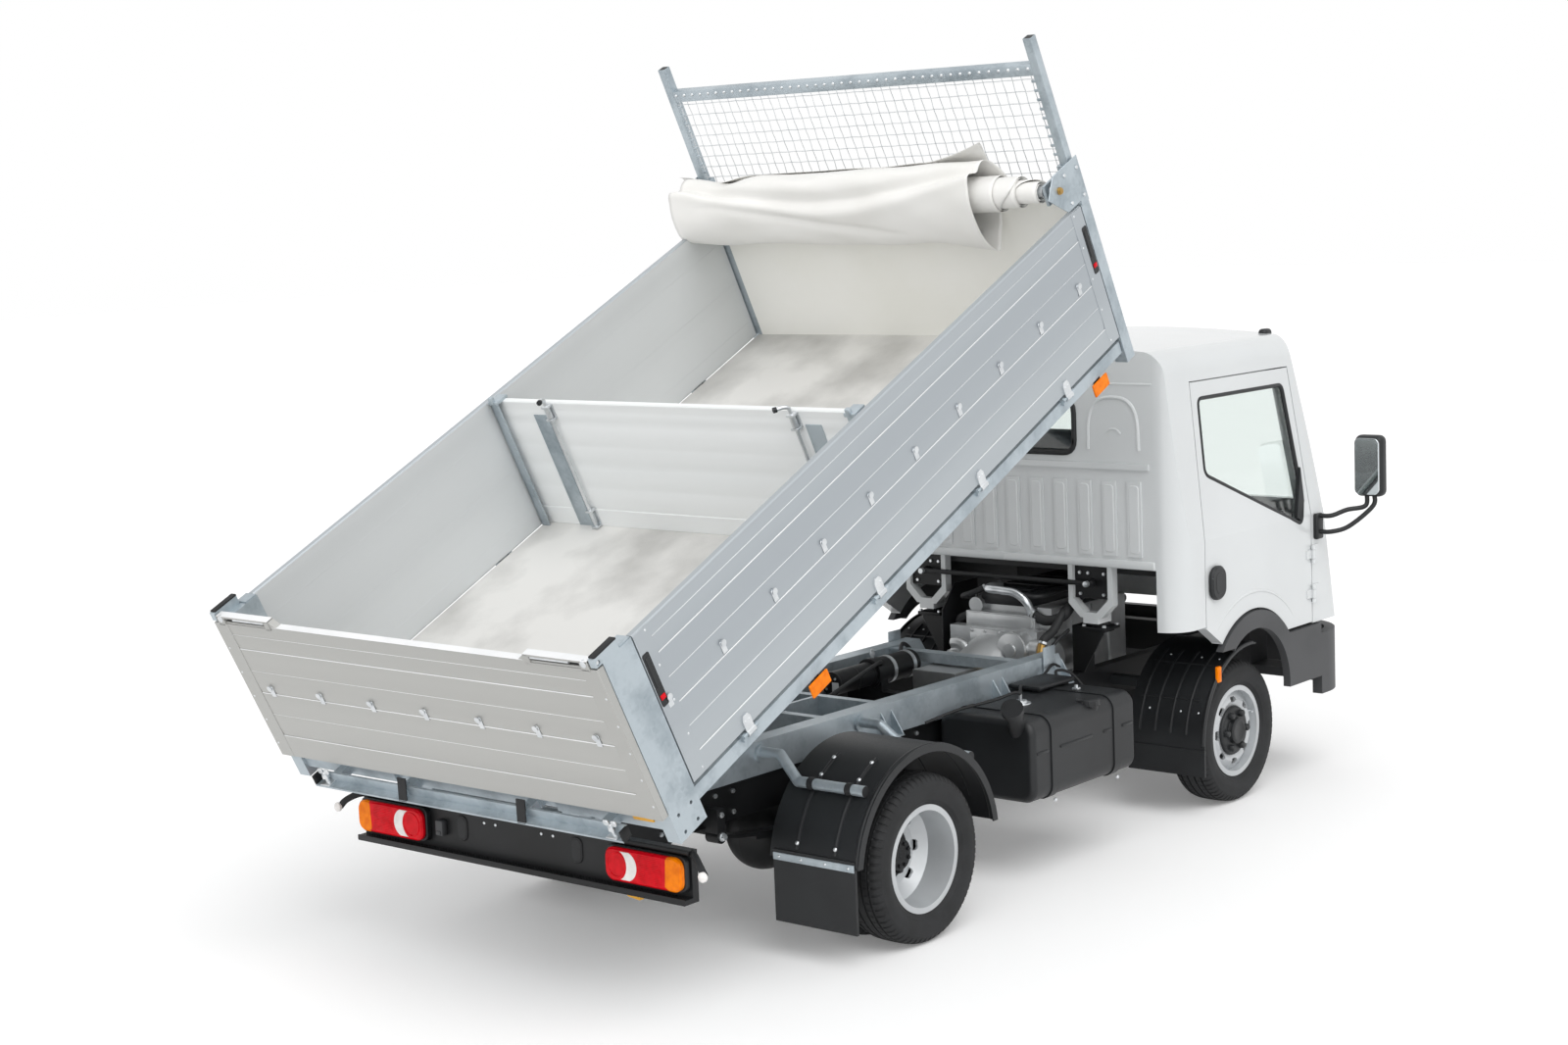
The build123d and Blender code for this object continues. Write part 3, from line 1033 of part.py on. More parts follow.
# Posts: rear corner posts with feet and gate ears, front posts below the mesh
POST_TOP_V = FLOOR_V + WALL_HEIGHT
FOOT_LOW_V = FLOOR_V - 140
GATE_PIN = 9
ROLL_U = BED_FRONT_U - 175
ROLL_V = FLOOR_V + 720
ROLL_RADIUS = 105
ROLL_TUBE = 24
FOOT_HOLES_U = GATE_U + PANEL_THICK + POST_LENGTH / 2
FOOT_HOLES_V = FLOOR_V - 82
FOOT_CIRCLE = 99
FOOT_HOLE = 7
with BuildPart(BED) as bed_posts:
    for side in (1, -1):
        rear_u = (GATE_U + PANEL_THICK + 1, GATE_U + PANEL_THICK + POST_LENGTH)
        slab(rear_u, (side * (BED_HALF - 60), side * BED_HALF), (FOOT_LOW_V, POST_TOP_V))
        slab((rear_u[0] - 1, rear_u[1] - 60), (side * (BED_HALF - 26), side * BED_HALF), (POST_TOP_V, GATE_AXIS_V + 22))
        slab((GATE_U, rear_u[1] - 60), (side * (BED_HALF - 26), side * BED_HALF), (GATE_AXIS_V - 12, GATE_AXIS_V + 22))
        across(GATE_U + PANEL_THICK / 2, (side * (BED_HALF - 30), side * (BED_HALF + 1)), GATE_AXIS_V, GATE_PIN + RUN_GAP, Mode.SUBTRACT)
        with BuildSketch(BED_SIDE.offset(-side * BED_HALF)):
            with Locations((FOOT_HOLES_U, FOOT_HOLES_V)):
                with PolarLocations(FOOT_CIRCLE / 2, 4, start_angle=45):
                    Circle(FOOT_HOLE)
        extrude(amount=side * 61, mode=Mode.SUBTRACT)
        front_u = (BED_FRONT_U - FRONT_POST_LENGTH, BED_FRONT_U)
        slab(front_u, (side * (BED_HALF - 60), side * BED_HALF), (EDGE_LOW_V - 50, FLOOR_V + 770))
        bracket_y = (side * (BED_HALF - 38), side * (BED_HALF - 26))
        slab((ROLL_U - 45, front_u[0]), bracket_y, (ROLL_V - 42, ROLL_V + 42))
        across(ROLL_U, (side * (BED_HALF - 40), side * (BED_HALF - 24)), ROLL_V, ROLL_TUBE + RUN_GAP, Mode.SUBTRACT)
save(bed_posts, "bed_posts")

# Headboard between the front posts
with BuildPart(BED) as headboard:
    board_u = (BED_FRONT_U - FRONT_POST_LENGTH, BED_FRONT_U - FRONT_POST_LENGTH + PANEL_THICK)
    slab(board_u, (-BED_HALF + 60, BED_HALF - 60), (FLOOR_LOW_V, POST_TOP_V + 20))
save(headboard, "headboard")

# Mesh guard: tube frame on the front posts with a wire grid
GUARD_TUBE = 40
GUARD_TOP_V = FLOOR_V + GUARD_HEIGHT
GUARD_BEAM_V = GUARD_TOP_V - 105
GUARD_FOOT_V = FLOOR_V + 770
MESH_LOW_V = FLOOR_V + 640
MESH_ROWS = 7
MESH_COLUMNS = 20
WIRE = 6
with BuildPart(BED) as mesh_guard:
    tube_u = (BED_FRONT_U - 50, BED_FRONT_U - 50 + GUARD_TUBE)
    for side in (1, -1):
        slab(tube_u, (side * (BED_HALF - 10), side * (BED_HALF - 10 - GUARD_TUBE)), (GUARD_FOOT_V, GUARD_TOP_V))
    inner_y = BED_HALF - 10 - GUARD_TUBE
    slab(tube_u, (-inner_y, inner_y), (GUARD_BEAM_V - 50, GUARD_BEAM_V))
    wire_u = (tube_u[0] + 17, tube_u[0] + 17 + WIRE)
    mesh_top = GUARD_BEAM_V - 50
    with BuildSketch(bed_cross(wire_u[0])):
        with Locations((0, (MESH_LOW_V + mesh_top) / 2)):
            Rectangle(2 * (inner_y - 11), mesh_top - MESH_LOW_V)
            pitch_y = (2 * (inner_y - 11) - WIRE) / MESH_COLUMNS
            pitch_v = (mesh_top - MESH_LOW_V - WIRE) / MESH_ROWS
            with GridLocations(pitch_y, pitch_v, MESH_COLUMNS, MESH_ROWS):
                Rectangle(pitch_y - WIRE, pitch_v - WIRE, mode=Mode.SUBTRACT)
    extrude(amount=WIRE)
    for v in (GUARD_FOOT_V + 60, GUARD_FOOT_V + 280):
        for side in (1, -1):
            slab(wire_u, (side * (inner_y - 20), side * (inner_y + 5)), (v, v + 30))
save(mesh_guard, "mesh_guard")

# Tarp roll across the head of the bed: tube ends in the post brackets, tight roll, loose outer turn
LOOSE_HALF_U = 100
LOOSE_HALF_V = 168
LOOSE_V = ROLL_V - 26
LOOSE_Y = (-BED_HALF + 350, BED_HALF - 60)
with BuildPart(BED) as tarp_roll:
    across(ROLL_U, (-BED_HALF + 20, BED_HALF - 20), ROLL_V, ROLL_TUBE)
    across(ROLL_U, (-BED_HALF + 120, LOOSE_Y[0] + 50), ROLL_V, 64)
    with BuildSketch(BED_SIDE.offset(-LOOSE_Y[1])) as loose_turn:
        with Locations((ROLL_U - 7, LOOSE_V)):
            Ellipse(LOOSE_HALF_U, LOOSE_HALF_V)
    extrude(loose_turn.sketch, amount=LOOSE_Y[1] - LOOSE_Y[0])
save(tarp_roll, "tarp_roll")

# Partition across the middle of the bed
with BuildPart(BED) as partition:
    slab((PARTITION_U - 13, PARTITION_U + 13), (-FLOOR_HALF + 2, FLOOR_HALF - 2), (FLOOR_V, POST_TOP_V - 10))
    for side in (1, -1):
        rod((PARTITION_U - 30, side * 640, FLOOR_V), (PARTITION_U - 30, side * 640, POST_TOP_V - 60), 9)
        for v in (FLOOR_V + 90, FLOOR_V + 330):
            slab((PARTITION_U - 42, PARTITION_U - 13), (side * 622, side * 658), (v, v + 40))
        slab((PARTITION_U - 40, PARTITION_U - 13), (side * (FLOOR_HALF - 42), side * (FLOOR_HALF - 2)), (FLOOR_V, POST_TOP_V - 10))
save(partition, "partition")

# Tailgate: full-width panel with top housings and hinge pins
GATE_HOOK_PITCH = 281
with BuildPart(BED) as tailgate:
    gate_mid = GATE_U + PANEL_THICK / 2
    slab((GATE_U, GATE_U + PANEL_THICK), (-BED_HALF + 2, BED_HALF - 2), (FLOOR_LOW_V, POST_TOP_V))
    for side in (1, -1):
        slab((GATE_U, GATE_U + PANEL_THICK), (side * 660, side * (BED_HALF - 32)), (POST_TOP_V, GATE_AXIS_V + 13))
        across(gate_mid, (side * 900, side * (BED_HALF - 4)), GATE_AXIS_V, GATE_PIN)
        ear_cut_v = (GATE_AXIS_V - 28, POST_TOP_V + 1)
        slab((GATE_U - 1, GATE_U + PANEL_THICK + 1), (side * (BED_HALF - 32), side * BED_HALF), ear_cut_v, Mode.SUBTRACT)
    with Locations((GATE_U - 3, 0, FLOOR_V + 305)):
        with GridLocations(1, GATE_HOOK_PITCH, 1, 7):
            Box(12, 18, 34)
save(tailgate, "tailgate")

# Drop sides with hinge straps and rope hooks
HOOK_COUNT = 10
HOOK_PITCH = 306
HOOK_MID_U = GATE_U + 1603
STRAP_THICK = 6
for side, name in ((1, "left"), (-1, "right")):
    with BuildPart(BED) as drop_side:
        panel_y = (side * (BED_HALF - PANEL_THICK), side * BED_HALF)
        slab((PANEL_REAR_U, PANEL_FRONT_U), panel_y, (FLOOR_V, POST_TOP_V))
        for u in HINGE_U:
            strap_u = (u - HINGE_WIDTH / 2, u + HINGE_WIDTH / 2)
            slab(strap_u, (side * (SIDE_AXIS_Y - 4), side * (SIDE_AXIS_Y + 6)), (SIDE_AXIS_V, FLOOR_V + 50))
            along(strap_u, side * SIDE_AXIS_Y, SIDE_AXIS_V, 13)
            along(strap_u, side * SIDE_AXIS_Y, SIDE_AXIS_V, HINGE_PIN + RUN_GAP, Mode.SUBTRACT)
        with Locations((HOOK_MID_U, side * (BED_HALF + 3), FLOOR_V + 322)):
            with GridLocations(HOOK_PITCH, 1, HOOK_COUNT, 1):
                Box(18, 12, 34)
    save(drop_side, f"side_{name}")

# Lifting cylinder: barrel on trunnions and four stages, leaning to the eye pin
EYE_U = LIFT_X - PIVOT_X
EYE_X = PIVOT_X + EYE_U * U_DIR[0] + LIFT_EYE_V * V_DIR[0]
EYE_Z = PIVOT_Z + EYE_U * U_DIR[2] + LIFT_EYE_V * V_DIR[2]
LIFT = Plane(origin=(LIFT_X, LIFT_Y, LIFT_Z), x_dir=(0, 1, 0), z_dir=(EYE_X - LIFT_X, 0, EYE_Z - LIFT_Z))
BARREL_TOP = 46
BARREL_LOW = -400
EYE_REACH = ((EYE_X - LIFT_X) ** 2 + (EYE_Z - LIFT_Z) ** 2) ** 0.5


def upright(low, high, radius, mode=Mode.ADD):
    """A round bar along the cylinder between two heights above the trunnions."""
    with Locations((0, 0, (low + high) / 2)):
        Cylinder(radius, high - low, mode=mode)


with BuildPart(LIFT) as lift_barrel:
    upright(BARREL_LOW, BARREL_TOP, BARREL_RADIUS)
    with Locations((0, 0, 0)):
        Cylinder(TRUNNION_RADIUS, 2 * (CRADLE_PLATE + PLATE_THICK), rotation=(0, 90, 0))
    upright(BARREL_LOW + 14, BARREL_TOP + 1, BARREL_RADIUS - 6, Mode.SUBTRACT)
save(lift_barrel, "lift_barrel")

STAGE_COUNT = 4
for number in range(1, STAGE_COUNT + 1):
    with BuildPart(LIFT) as stage:
        shift = number * STAGE_TRAVEL_AT_REST
        radius = BARREL_RADIUS - 6 - RUN_GAP - (number - 1) * STAGE_STEP
        low = BARREL_LOW + 14 + 8 * number + shift
        high = BARREL_TOP + 12 * number + shift
        upright(low, high, radius)
        if number < STAGE_COUNT:
            upright(low + 7, high + 1, radius - STAGE_STEP + RUN_GAP, Mode.SUBTRACT)
        else:
            with BuildSketch(Plane(origin=LIFT.origin, x_dir=LIFT.z_dir, z_dir=(0, 1, 0))):
                with Locations(((high + EYE_REACH + 20) / 2, 0)):
                    Rectangle(EYE_REACH + 20 - high, 60)
                with Locations((EYE_REACH + 20, 0)):
                    Circle(30)
                with Locations((EYE_REACH, 0)):
                    SlotCenterToCenter(44, 2 * (EYE_PIN + EYE_PLAY), mode=Mode.SUBTRACT)
            extrude(amount=30, both=True)
    save(stage, f"lift_stage_{number}")
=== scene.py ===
from math import cos, pi, radians, sin

import bmesh
import bpy
import numpy as np
from mathutils import Matrix


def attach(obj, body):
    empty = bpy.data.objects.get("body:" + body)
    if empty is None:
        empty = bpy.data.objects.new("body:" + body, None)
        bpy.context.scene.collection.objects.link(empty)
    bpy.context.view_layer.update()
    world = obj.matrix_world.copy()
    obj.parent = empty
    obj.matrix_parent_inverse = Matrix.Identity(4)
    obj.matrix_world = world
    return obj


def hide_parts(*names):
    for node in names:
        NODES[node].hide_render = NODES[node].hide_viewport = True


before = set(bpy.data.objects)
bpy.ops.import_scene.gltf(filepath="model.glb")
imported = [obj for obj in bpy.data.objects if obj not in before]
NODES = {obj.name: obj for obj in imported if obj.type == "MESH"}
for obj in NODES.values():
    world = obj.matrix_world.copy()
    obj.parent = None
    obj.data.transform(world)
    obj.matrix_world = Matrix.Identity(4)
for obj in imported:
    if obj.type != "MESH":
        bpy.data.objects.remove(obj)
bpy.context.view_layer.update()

# Shapes are worked out in millimetres in the truck's frame and turned to metres in the mesh.
MM = 0.001
SIDES = ((1, "left"), (-1, "right"))

# Driving dimensions of the solids, repeated here because the source can't be read
REAR_X = -871.0
FRONT_X = REAR_X + 2500.0
WHEEL_Z = 325.0
FRONT_WHEEL_Y = 760.0
REAR_OUTER_Y = 878.0
REAR_INNER_Y = 655.0
TIP = radians(26)
PIVOT = np.array([REAR_X - 1250.0, 0.0, 680.0])
FLOOR_V = 211.0
WALL_TOP_V = FLOOR_V + 600.0
BED_HALF = 990.0
PANEL = 30.0
GATE_U = -130.0
PANEL_U = (54.0, 3014.0)
PARTITION_U = GATE_U + 1600.0
HINGE_U = tuple(GATE_U + u for u in (500, 1330, 2050, 2710))
SIDE_AXIS_Y = BED_HALF + 2
SIDE_AXIS_V = FLOOR_V - 18
GATE_AXIS_V = WALL_TOP_V + 14
CAB_BACK_X = REAR_X + 1900.0
CAB_HALF = 925.0


def bed(points):
    """Carries points from the bed's own (u, y, v) to the truck's frame: a turn by the tip about the shaft."""
    u, y, v = points[..., 0], points[..., 1], points[..., 2]
    x = PIVOT[0] + u * cos(TIP) - v * sin(TIP)
    z = PIVOT[2] + u * sin(TIP) + v * cos(TIP)
    return np.stack([x, y, z], -1)


# Shapes: each returns vertices and faces

def grid(points, round_a=False, round_b=False):
    """Joins an (n, m, 3) array of points into quads, closing a direction where told to."""
    n, m = points.shape[:2]
    a, b = np.meshgrid(np.arange(n if round_a else n - 1),
                       np.arange(m if round_b else m - 1), indexing="ij")
    c, d = (a + 1) % n, (b + 1) % m
    quads = np.stack([a * m + b, c * m + b, c * m + d, a * m + d], -1).reshape(-1, 4)
    return points.reshape(-1, 3), quads.tolist()


def merged(parts):
    """Puts several shapes into one list of vertices and one of faces."""
    verts, faces, start = [], [], 0
    for points, polygons in parts:
        verts.append(points)
        faces.extend([[i + start for i in polygon] for polygon in polygons])
        start += len(points)
    return np.concatenate(verts), faces


def block(x, y, z, radius=3.0, steps=3):
    """A block with rounded edges: a sphere's points, each moved out to the core corner of its octant.

    point = middle + sign * core + radius * (cos b cos a, cos b sin a, sin b)
    """
    limits = np.array([sorted(x), sorted(y), sorted(z)], float)
    middle, half = limits.mean(1), (limits[:, 1] - limits[:, 0]) / 2
    radius = min(radius, 0.98 * half.min())
    core = half - radius
    a = np.concatenate([np.linspace(q, q + 1, steps) for q in range(4)]) * pi / 2
    b = np.concatenate([np.linspace(-1, 0, steps), np.linspace(0, 1, steps)]) * pi / 2
    sign_x, sign_y = np.repeat([1, -1, -1, 1], steps), np.repeat([1, 1, -1, -1], steps)
    sign_z = np.repeat([-1, 1], steps)
    points = np.empty((2 * steps, 4 * steps, 3))
    points[..., 0] = middle[0] + sign_x * core[0] + radius * np.cos(b)[:, None] * np.cos(a)
    points[..., 1] = middle[1] + sign_y * core[1] + radius * np.cos(b)[:, None] * np.sin(a)
    points[..., 2] = (middle[2] + sign_z * core[2] + radius * np.sin(b))[:, None]
    verts, quads = grid(points, round_b=True)
    corners = [0, steps, 2 * steps, 3 * steps]
    top = (2 * steps - 1) * 4 * steps
    return verts, quads + [corners[::-1], [top + i for i in corners]]


def sides_of(axis):
    """Two directions square to an axis and to each other."""
    axis = np.asarray(axis, float)
    axis = axis / np.linalg.norm(axis)
    helper = np.array([0.0, 0.0, 1.0]) if abs(axis[2]) < 0.9 else np.array([1.0, 0.0, 0.0])
    first = np.cross(helper, axis)
    first /= np.linalg.norm(first)
    return axis, first, np.cross(axis, first)


def turned(profile, centre, axis, count=24):
    """A turned part: each (offset, radius) of the profile carried in a circle round the axis."""
    axis, first, second = sides_of(axis)
    profile = np.asarray(profile, float)
    a = np.linspace(0, 2 * pi, count, endpoint=False)
    ring = np.cos(a)[:, None] * first + np.sin(a)[:, None] * second
    points = np.asarray(centre, float) + profile[:, 0, None, None] * axis + profile[:, 1, None, None] * ring
    return grid(points, round_b=True)


def spline(points, count):
    """A smooth line through the points: each span is the cubic whose slopes join its neighbours."""
    points = np.asarray(points, float)
    padded = np.concatenate([[2 * points[0] - points[1]], points, [2 * points[-1] - points[-2]]])
    t = np.linspace(0, len(points) - 1, count)
    i = np.minimum(t.astype(int), len(points) - 2)
    f = (t - i)[:, None]
    p0, p1, p2, p3 = padded[i], padded[i + 1], padded[i + 2], padded[i + 3]
    slope, bend = p2 - p0, 2 * p0 - 5 * p1 + 4 * p2 - p3
    return 0.5 * (2 * p1 + slope * f + bend * f**2 + (3 * p1 - p0 - 3 * p2 + p3) * f**3)


def tube(path, radius, count=10):
    """A round bar: a circle carried along the path, square to it, and drawn to a point at each end."""
    path = np.asarray(path, float)
    run = np.gradient(path, axis=0)
    run /= np.linalg.norm(run, axis=1)[:, None]
    _, first, _ = sides_of(run[0])
    firsts = []
    for direction in run:
        first = first - direction * (first @ direction)
        first /= np.linalg.norm(first)
        firsts.append(first)
    firsts = np.array(firsts)
    seconds = np.cross(run, firsts)
    a = np.linspace(0, 2 * pi, count, endpoint=False)
    ring = np.cos(a)[None, :, None] * firsts[:, None] + np.sin(a)[None, :, None] * seconds[:, None]
    radii = np.broadcast_to(np.asarray(radius, float), (len(path),))[:, None, None]
    points = path[:, None] + radii * ring
    points = np.concatenate([np.repeat(path[:1, None], count, 1), points,
                             np.repeat(path[-1:, None], count, 1)])
    return grid(points, round_b=True)


def inset(outline, amount):
    """An outline drawn in by an amount along the mean of each corner's two edge normals."""
    edge = np.roll(outline, -1, 0) - outline
    edge /= np.linalg.norm(edge, axis=1)[:, None]
    normal = np.stack([-edge[:, 1], edge[:, 0]], -1)
    before = np.roll(normal, 1, 0)
    mitre = (normal + before) / (1 + (normal * before).sum(1))[:, None]
    x, y = outline.T
    area = 0.5 * np.sum(x * np.roll(y, -1) - np.roll(x, -1) * y)
    return outline + mitre * amount * np.sign(area)


def prism(outline, low, high, axis="y", bevel=2.0):
    """A plate: an outline carried from low to high along an axis, drawn in by the bevel at both ends."""
    outline = np.asarray(outline, float)
    drawn = inset(outline, bevel)
    low, high = min(low, high), max(low, high)
    rings = ((drawn, low), (outline, low + bevel), (outline, high - bevel), (drawn, high))
    order = {"x": (2, 0, 1), "y": (0, 2, 1), "z": (0, 1, 2)}[axis]
    points = np.stack([np.column_stack([ring, np.full(len(ring), level)])[:, order]
                       for ring, level in rings])
    verts, quads = grid(points, round_b=True)
    n = len(outline)
    return verts, quads + [list(range(n))[::-1], [3 * n + i for i in range(n)]]


def rounded(width, height, radius, centre=(0, 0), steps=5):
    """An outline: a rectangle with its corners rounded."""
    a = np.concatenate([np.linspace(q, q + 1, steps) for q in range(4)]) * pi / 2
    sign = np.repeat([[1, 1], [-1, 1], [-1, -1], [1, -1]], steps, 0)
    core = np.array([width / 2 - radius, height / 2 - radius])
    return np.asarray(centre) + sign * core + radius * np.stack([np.cos(a), np.sin(a)], -1)


def hexagon(centre, axis, across, height):
    """A bolt head: six flats with a chamfered top, standing along an axis."""
    radius = across / 1.732
    profile = ((0, radius), (0.75 * height, radius), (height, 0.82 * radius), (height, 0))
    return turned(profile, centre, axis, 6)


def dome(centre, axis, radius, height):
    """A rivet head: a quarter of an ellipse turned about its axis."""
    a = np.linspace(0, pi / 2, 4)
    return turned(np.stack([height * np.sin(a), radius * np.cos(a)], -1), centre, axis, 8)


def mirrored(part):
    """The same shape on the other side of the truck, with its faces turned round."""
    verts, faces = part
    return verts * np.array([1, -1, 1]), [face[::-1] for face in faces]


def both(parts):
    """Shapes of the left side together with their mirror images."""
    return [*parts, *[mirrored(part) for part in parts]]


BED_BODIES = ("bed", "gate", "left_side", "right_side")


def piece(name, parts, material, body, crease=38, closed=True):
    """Makes one named object from shapes, merges its seams, points its faces outwards and sets its finish.

    The bed and what hangs on it are given in the bed's own directions.
    """
    verts, faces = merged(parts)
    verts = bed(verts) if body in BED_BODIES else verts
    mesh = bpy.data.meshes.new(name)
    mesh.from_pydata((verts * MM).tolist(), [], faces)
    shape = bmesh.new()
    shape.from_mesh(mesh)
    bmesh.ops.remove_doubles(shape, verts=shape.verts, dist=2e-5)
    bmesh.ops.dissolve_degenerate(shape, edges=shape.edges, dist=1e-6)
    if closed:
        bmesh.ops.recalc_face_normals(shape, faces=shape.faces)
    shape.to_mesh(mesh)
    shape.free()
    mesh.polygons.foreach_set("use_smooth", np.ones(len(mesh.polygons), bool))
    mesh.set_sharp_from_angle(angle=radians(crease))
    mesh.materials.append(material)
    made = bpy.data.objects.new(name, mesh)
    bpy.context.scene.collection.objects.link(made)
    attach(made, body)
    return made


# Materials

def linear(code):
    """An sRGB hex colour as linear RGBA."""
    c = np.array([int(code[i : i + 2], 16) for i in (1, 3, 5)]) / 255
    return (*np.where(c <= 0.04045, c / 12.92, ((c + 0.055) / 1.055) ** 2.4), 1.0)


def add_node(tree, kind, settings=(), links=()):
    """Adds a node, sets its properties or unlinked inputs by name and links its other inputs."""
    made = tree.nodes.new(kind)
    for name, value in dict(settings).items():
        if name in made.bl_rna.properties:
            setattr(made, name, value)
        else:
            made.inputs[name].default_value = value
    for name, source in dict(links).items():
        tree.links.new(source, made.inputs[name])
    return made


def material(name, sockets):
    """A new material with its shader's own sockets set."""
    made = bpy.data.materials.new(name)
    made.use_nodes = True
    shader = made.node_tree.nodes["Principled BSDF"]
    for socket, value in sockets.items():
        shader.inputs[socket].default_value = value
    return made, made.node_tree, shader


def finish(name, colours, roughness, cloud, grain, bump, stretch=(1, 1, 1), turn=0.0, cells=False, **sockets):
    """A surface with broad clouds of two colours and a finer grain in roughness and height.

    cloud, grain and bump are sizes in millimetres; stretch draws the pattern out along an axis.
    """
    made, tree, shader = material(name, {key.replace("_", " "): value for key, value in sockets.items()})
    place = add_node(tree, "ShaderNodeTexCoord").outputs["Object"]
    turned_place = add_node(tree, "ShaderNodeMapping", {"Rotation": (0, turn, 0)}, {"Vector": place})
    drawn = add_node(tree, "ShaderNodeMapping", {"Scale": stretch},
                     {"Vector": turned_place.outputs[0]}).outputs[0]
    clouds = add_node(tree, "ShaderNodeTexNoise",
                      {"Scale": 1 / (cloud * MM), "Detail": 4.0}, {"Vector": drawn})
    spread = add_node(tree, "ShaderNodeMapRange", {"From Min": 0.36, "From Max": 0.64},
                      {"Value": clouds.outputs[0]})
    if cells:
        fine = add_node(tree, "ShaderNodeTexVoronoi", {"Scale": 1 / (grain * MM)}, {"Vector": drawn})
        height = add_node(tree, "ShaderNodeRGBToBW", (), {"Color": fine.outputs["Color"]}).outputs[0]
    else:
        fine = add_node(tree, "ShaderNodeTexNoise",
                        {"Scale": 1 / (grain * MM), "Detail": 2.0}, {"Vector": drawn})
        height = fine.outputs[0]
    share = add_node(tree, "ShaderNodeMath", {"operation": "MULTIPLY_ADD"},
                     {0: height, 2: spread.outputs[0]})
    share.inputs[1].default_value = 0.5 if cells else 0.25
    mixed = add_node(tree, "ShaderNodeMix", {"data_type": "RGBA"}, {0: share.outputs[0]})
    mixed.inputs[6].default_value, mixed.inputs[7].default_value = map(linear, colours)
    tree.links.new(mixed.outputs[2], shader.inputs["Base Color"])
    rough = add_node(tree, "ShaderNodeMapRange",
                     {"To Min": roughness[0], "To Max": roughness[1]}, {"Value": height})
    tree.links.new(rough.outputs[0], shader.inputs["Roughness"])
    relief = add_node(tree, "ShaderNodeBump", {"Distance": bump * MM, "Strength": 0.6}, {"Height": height})
    tree.links.new(relief.outputs[0], shader.inputs["Normal"])
    return made


# Extruded plank, anodised: a satin silver with faint die lines along its length
ANODISED = finish("anodised_aluminium_extruded", ("#A8AEB3", "#B2B8BC"), (0.38, 0.48), 420, 2.2, 0.008,
                  stretch=(0.004, 1, 1), turn=TIP, Metallic=0.62)
# The same plank lying across the truck, its die lines along Y
ANODISED_ACROSS = finish("anodised_aluminium_extruded_across", ("#ABABA8", "#B4B4B1"), (0.38, 0.48), 420,
                         2.2, 0.008, stretch=(1, 0.004, 1), turn=TIP, Metallic=0.55)
# Inner faces of the planks, across the truck and along it, paler than the outer faces; the copy across the
# truck, on the partition whose face is turned from the lamps, is lifted far paler than the side walls' copy
# as painted light
INNER_PLANK = finish("anodised_aluminium_inner", ("#E9ECEC", "#F0F2F2"), (0.42, 0.54), 300, 2.0, 0.006,
                     stretch=(1, 0.006, 1), turn=TIP, Metallic=0.1)
INNER_SIDE = finish("anodised_aluminium_inner_side", ("#C8CBCC", "#D0D3D4"), (0.42, 0.54), 300, 2.0, 0.006,
                    stretch=(0.006, 1, 1), turn=TIP, Metallic=0.1)
# Rounded edges where two planks meet, coloured near white as a painted highlight for the light their ledges
# catch
JOINT_HIGHLIGHT = finish("aluminium_joint_painted_highlight", ("#E6E8E9", "#F2F3F4"), (0.25, 0.35), 200, 2,
                     0.004, Metallic=0.2)
# Hot-dip galvanised steel: dull zinc with spangle cells about 14 mm across
GALVANISED = finish("galvanised_steel_dipped", ("#97A2A9", "#B6C0C6"), (0.34, 0.52), 160, 14, 0.02,
                    cells=True, Metallic=0.6)
# Zinc plated fittings: bright, small and even
ZINC = finish("zinc_plated_steel", ("#C9CDD0", "#DADDDF"), (0.24, 0.34), 60, 1.2, 0.006, Metallic=0.85)
# Load floor: galvanised plate rubbed pale, with cloudy scuffs a hand or two across
FLOOR_PLATE = finish("galvanised_plate_scuffed", ("#B6B5B2", "#E2E1DE"), (0.4, 0.58), 420, 6,
                     0.015, Metallic=0.12)
# Painted headboard, rolled sheet; its cream lifted near white as painted light, standing in for the bounce
# light on its face turned from the lamps
BOARD = finish("cream_coil_paint_with_painted_light", ("#F3F2EB", "#F7F6F1"), (0.42, 0.52), 500, 3, 0.01)
# Cab paint: white two-pack under clear lacquer with a faint orange peel
CAB_WHITE = finish("white_two_pack_sprayed", ("#D0D3D4", "#D6D9DA"), (0.2, 0.26), 900, 7, 0.012,
                   Coat_Weight=0.5, Coat_Roughness=0.06)
# Chassis paint: satin black, a little dusty
CHASSIS_BLACK = finish("chassis_black_sprayed", ("#0B0C0D", "#151618"), (0.38, 0.55), 260, 2.5, 0.02,
                       Specular_IOR_Level=0.35)
# Black polypropylene, moulded with a fine leather grain
BLACK_PLASTIC = finish("black_polypropylene_moulded", ("#161719", "#202224"), (0.38, 0.5), 300, 2.2, 0.04,
                       cells=True, Specular_IOR_Level=0.4)
# Dark grey polypropylene of the arches and lower panels
GREY_PLASTIC = finish("grey_polypropylene_moulded", ("#3A3B3D", "#444547"), (0.5, 0.62), 300,
                      2.2, 0.05, cells=True)
# Tyre rubber: matt, in clouds of two near-black tones
RUBBER = finish("tyre_rubber_cured", ("#121314", "#1D1E20"), (0.66, 0.84), 90, 3, 0.06)
# Steel wheel in silver lacquer, with fine flake
RIM_SILVER = finish("silver_lacquered_steel", ("#B9BCBF", "#C6C9CB"), (0.32, 0.44), 240, 1.6, 0.008,
                    cells=True, Metallic=0.45)
# Aluminium castings of the engine: grainy, stained
CASTING = finish("cast_aluminium_sand", ("#B6B8B9", "#C8CACB"), (0.32, 0.46), 160, 2.5, 0.05, Metallic=0.8)
# Bare silencer steel, browned by heat
SILENCER = finish("aluminised_steel_rolled", ("#6C675F", "#86817A"), (0.4, 0.6), 90, 4, 0.03, Metallic=0.7)
# Ground and plated cylinder rods
CHROMED = finish("hard_chrome_ground", ("#C4C6C8", "#D0D2D4"), (0.1, 0.18), 120, 0.8, 0.002, Metallic=1.0)
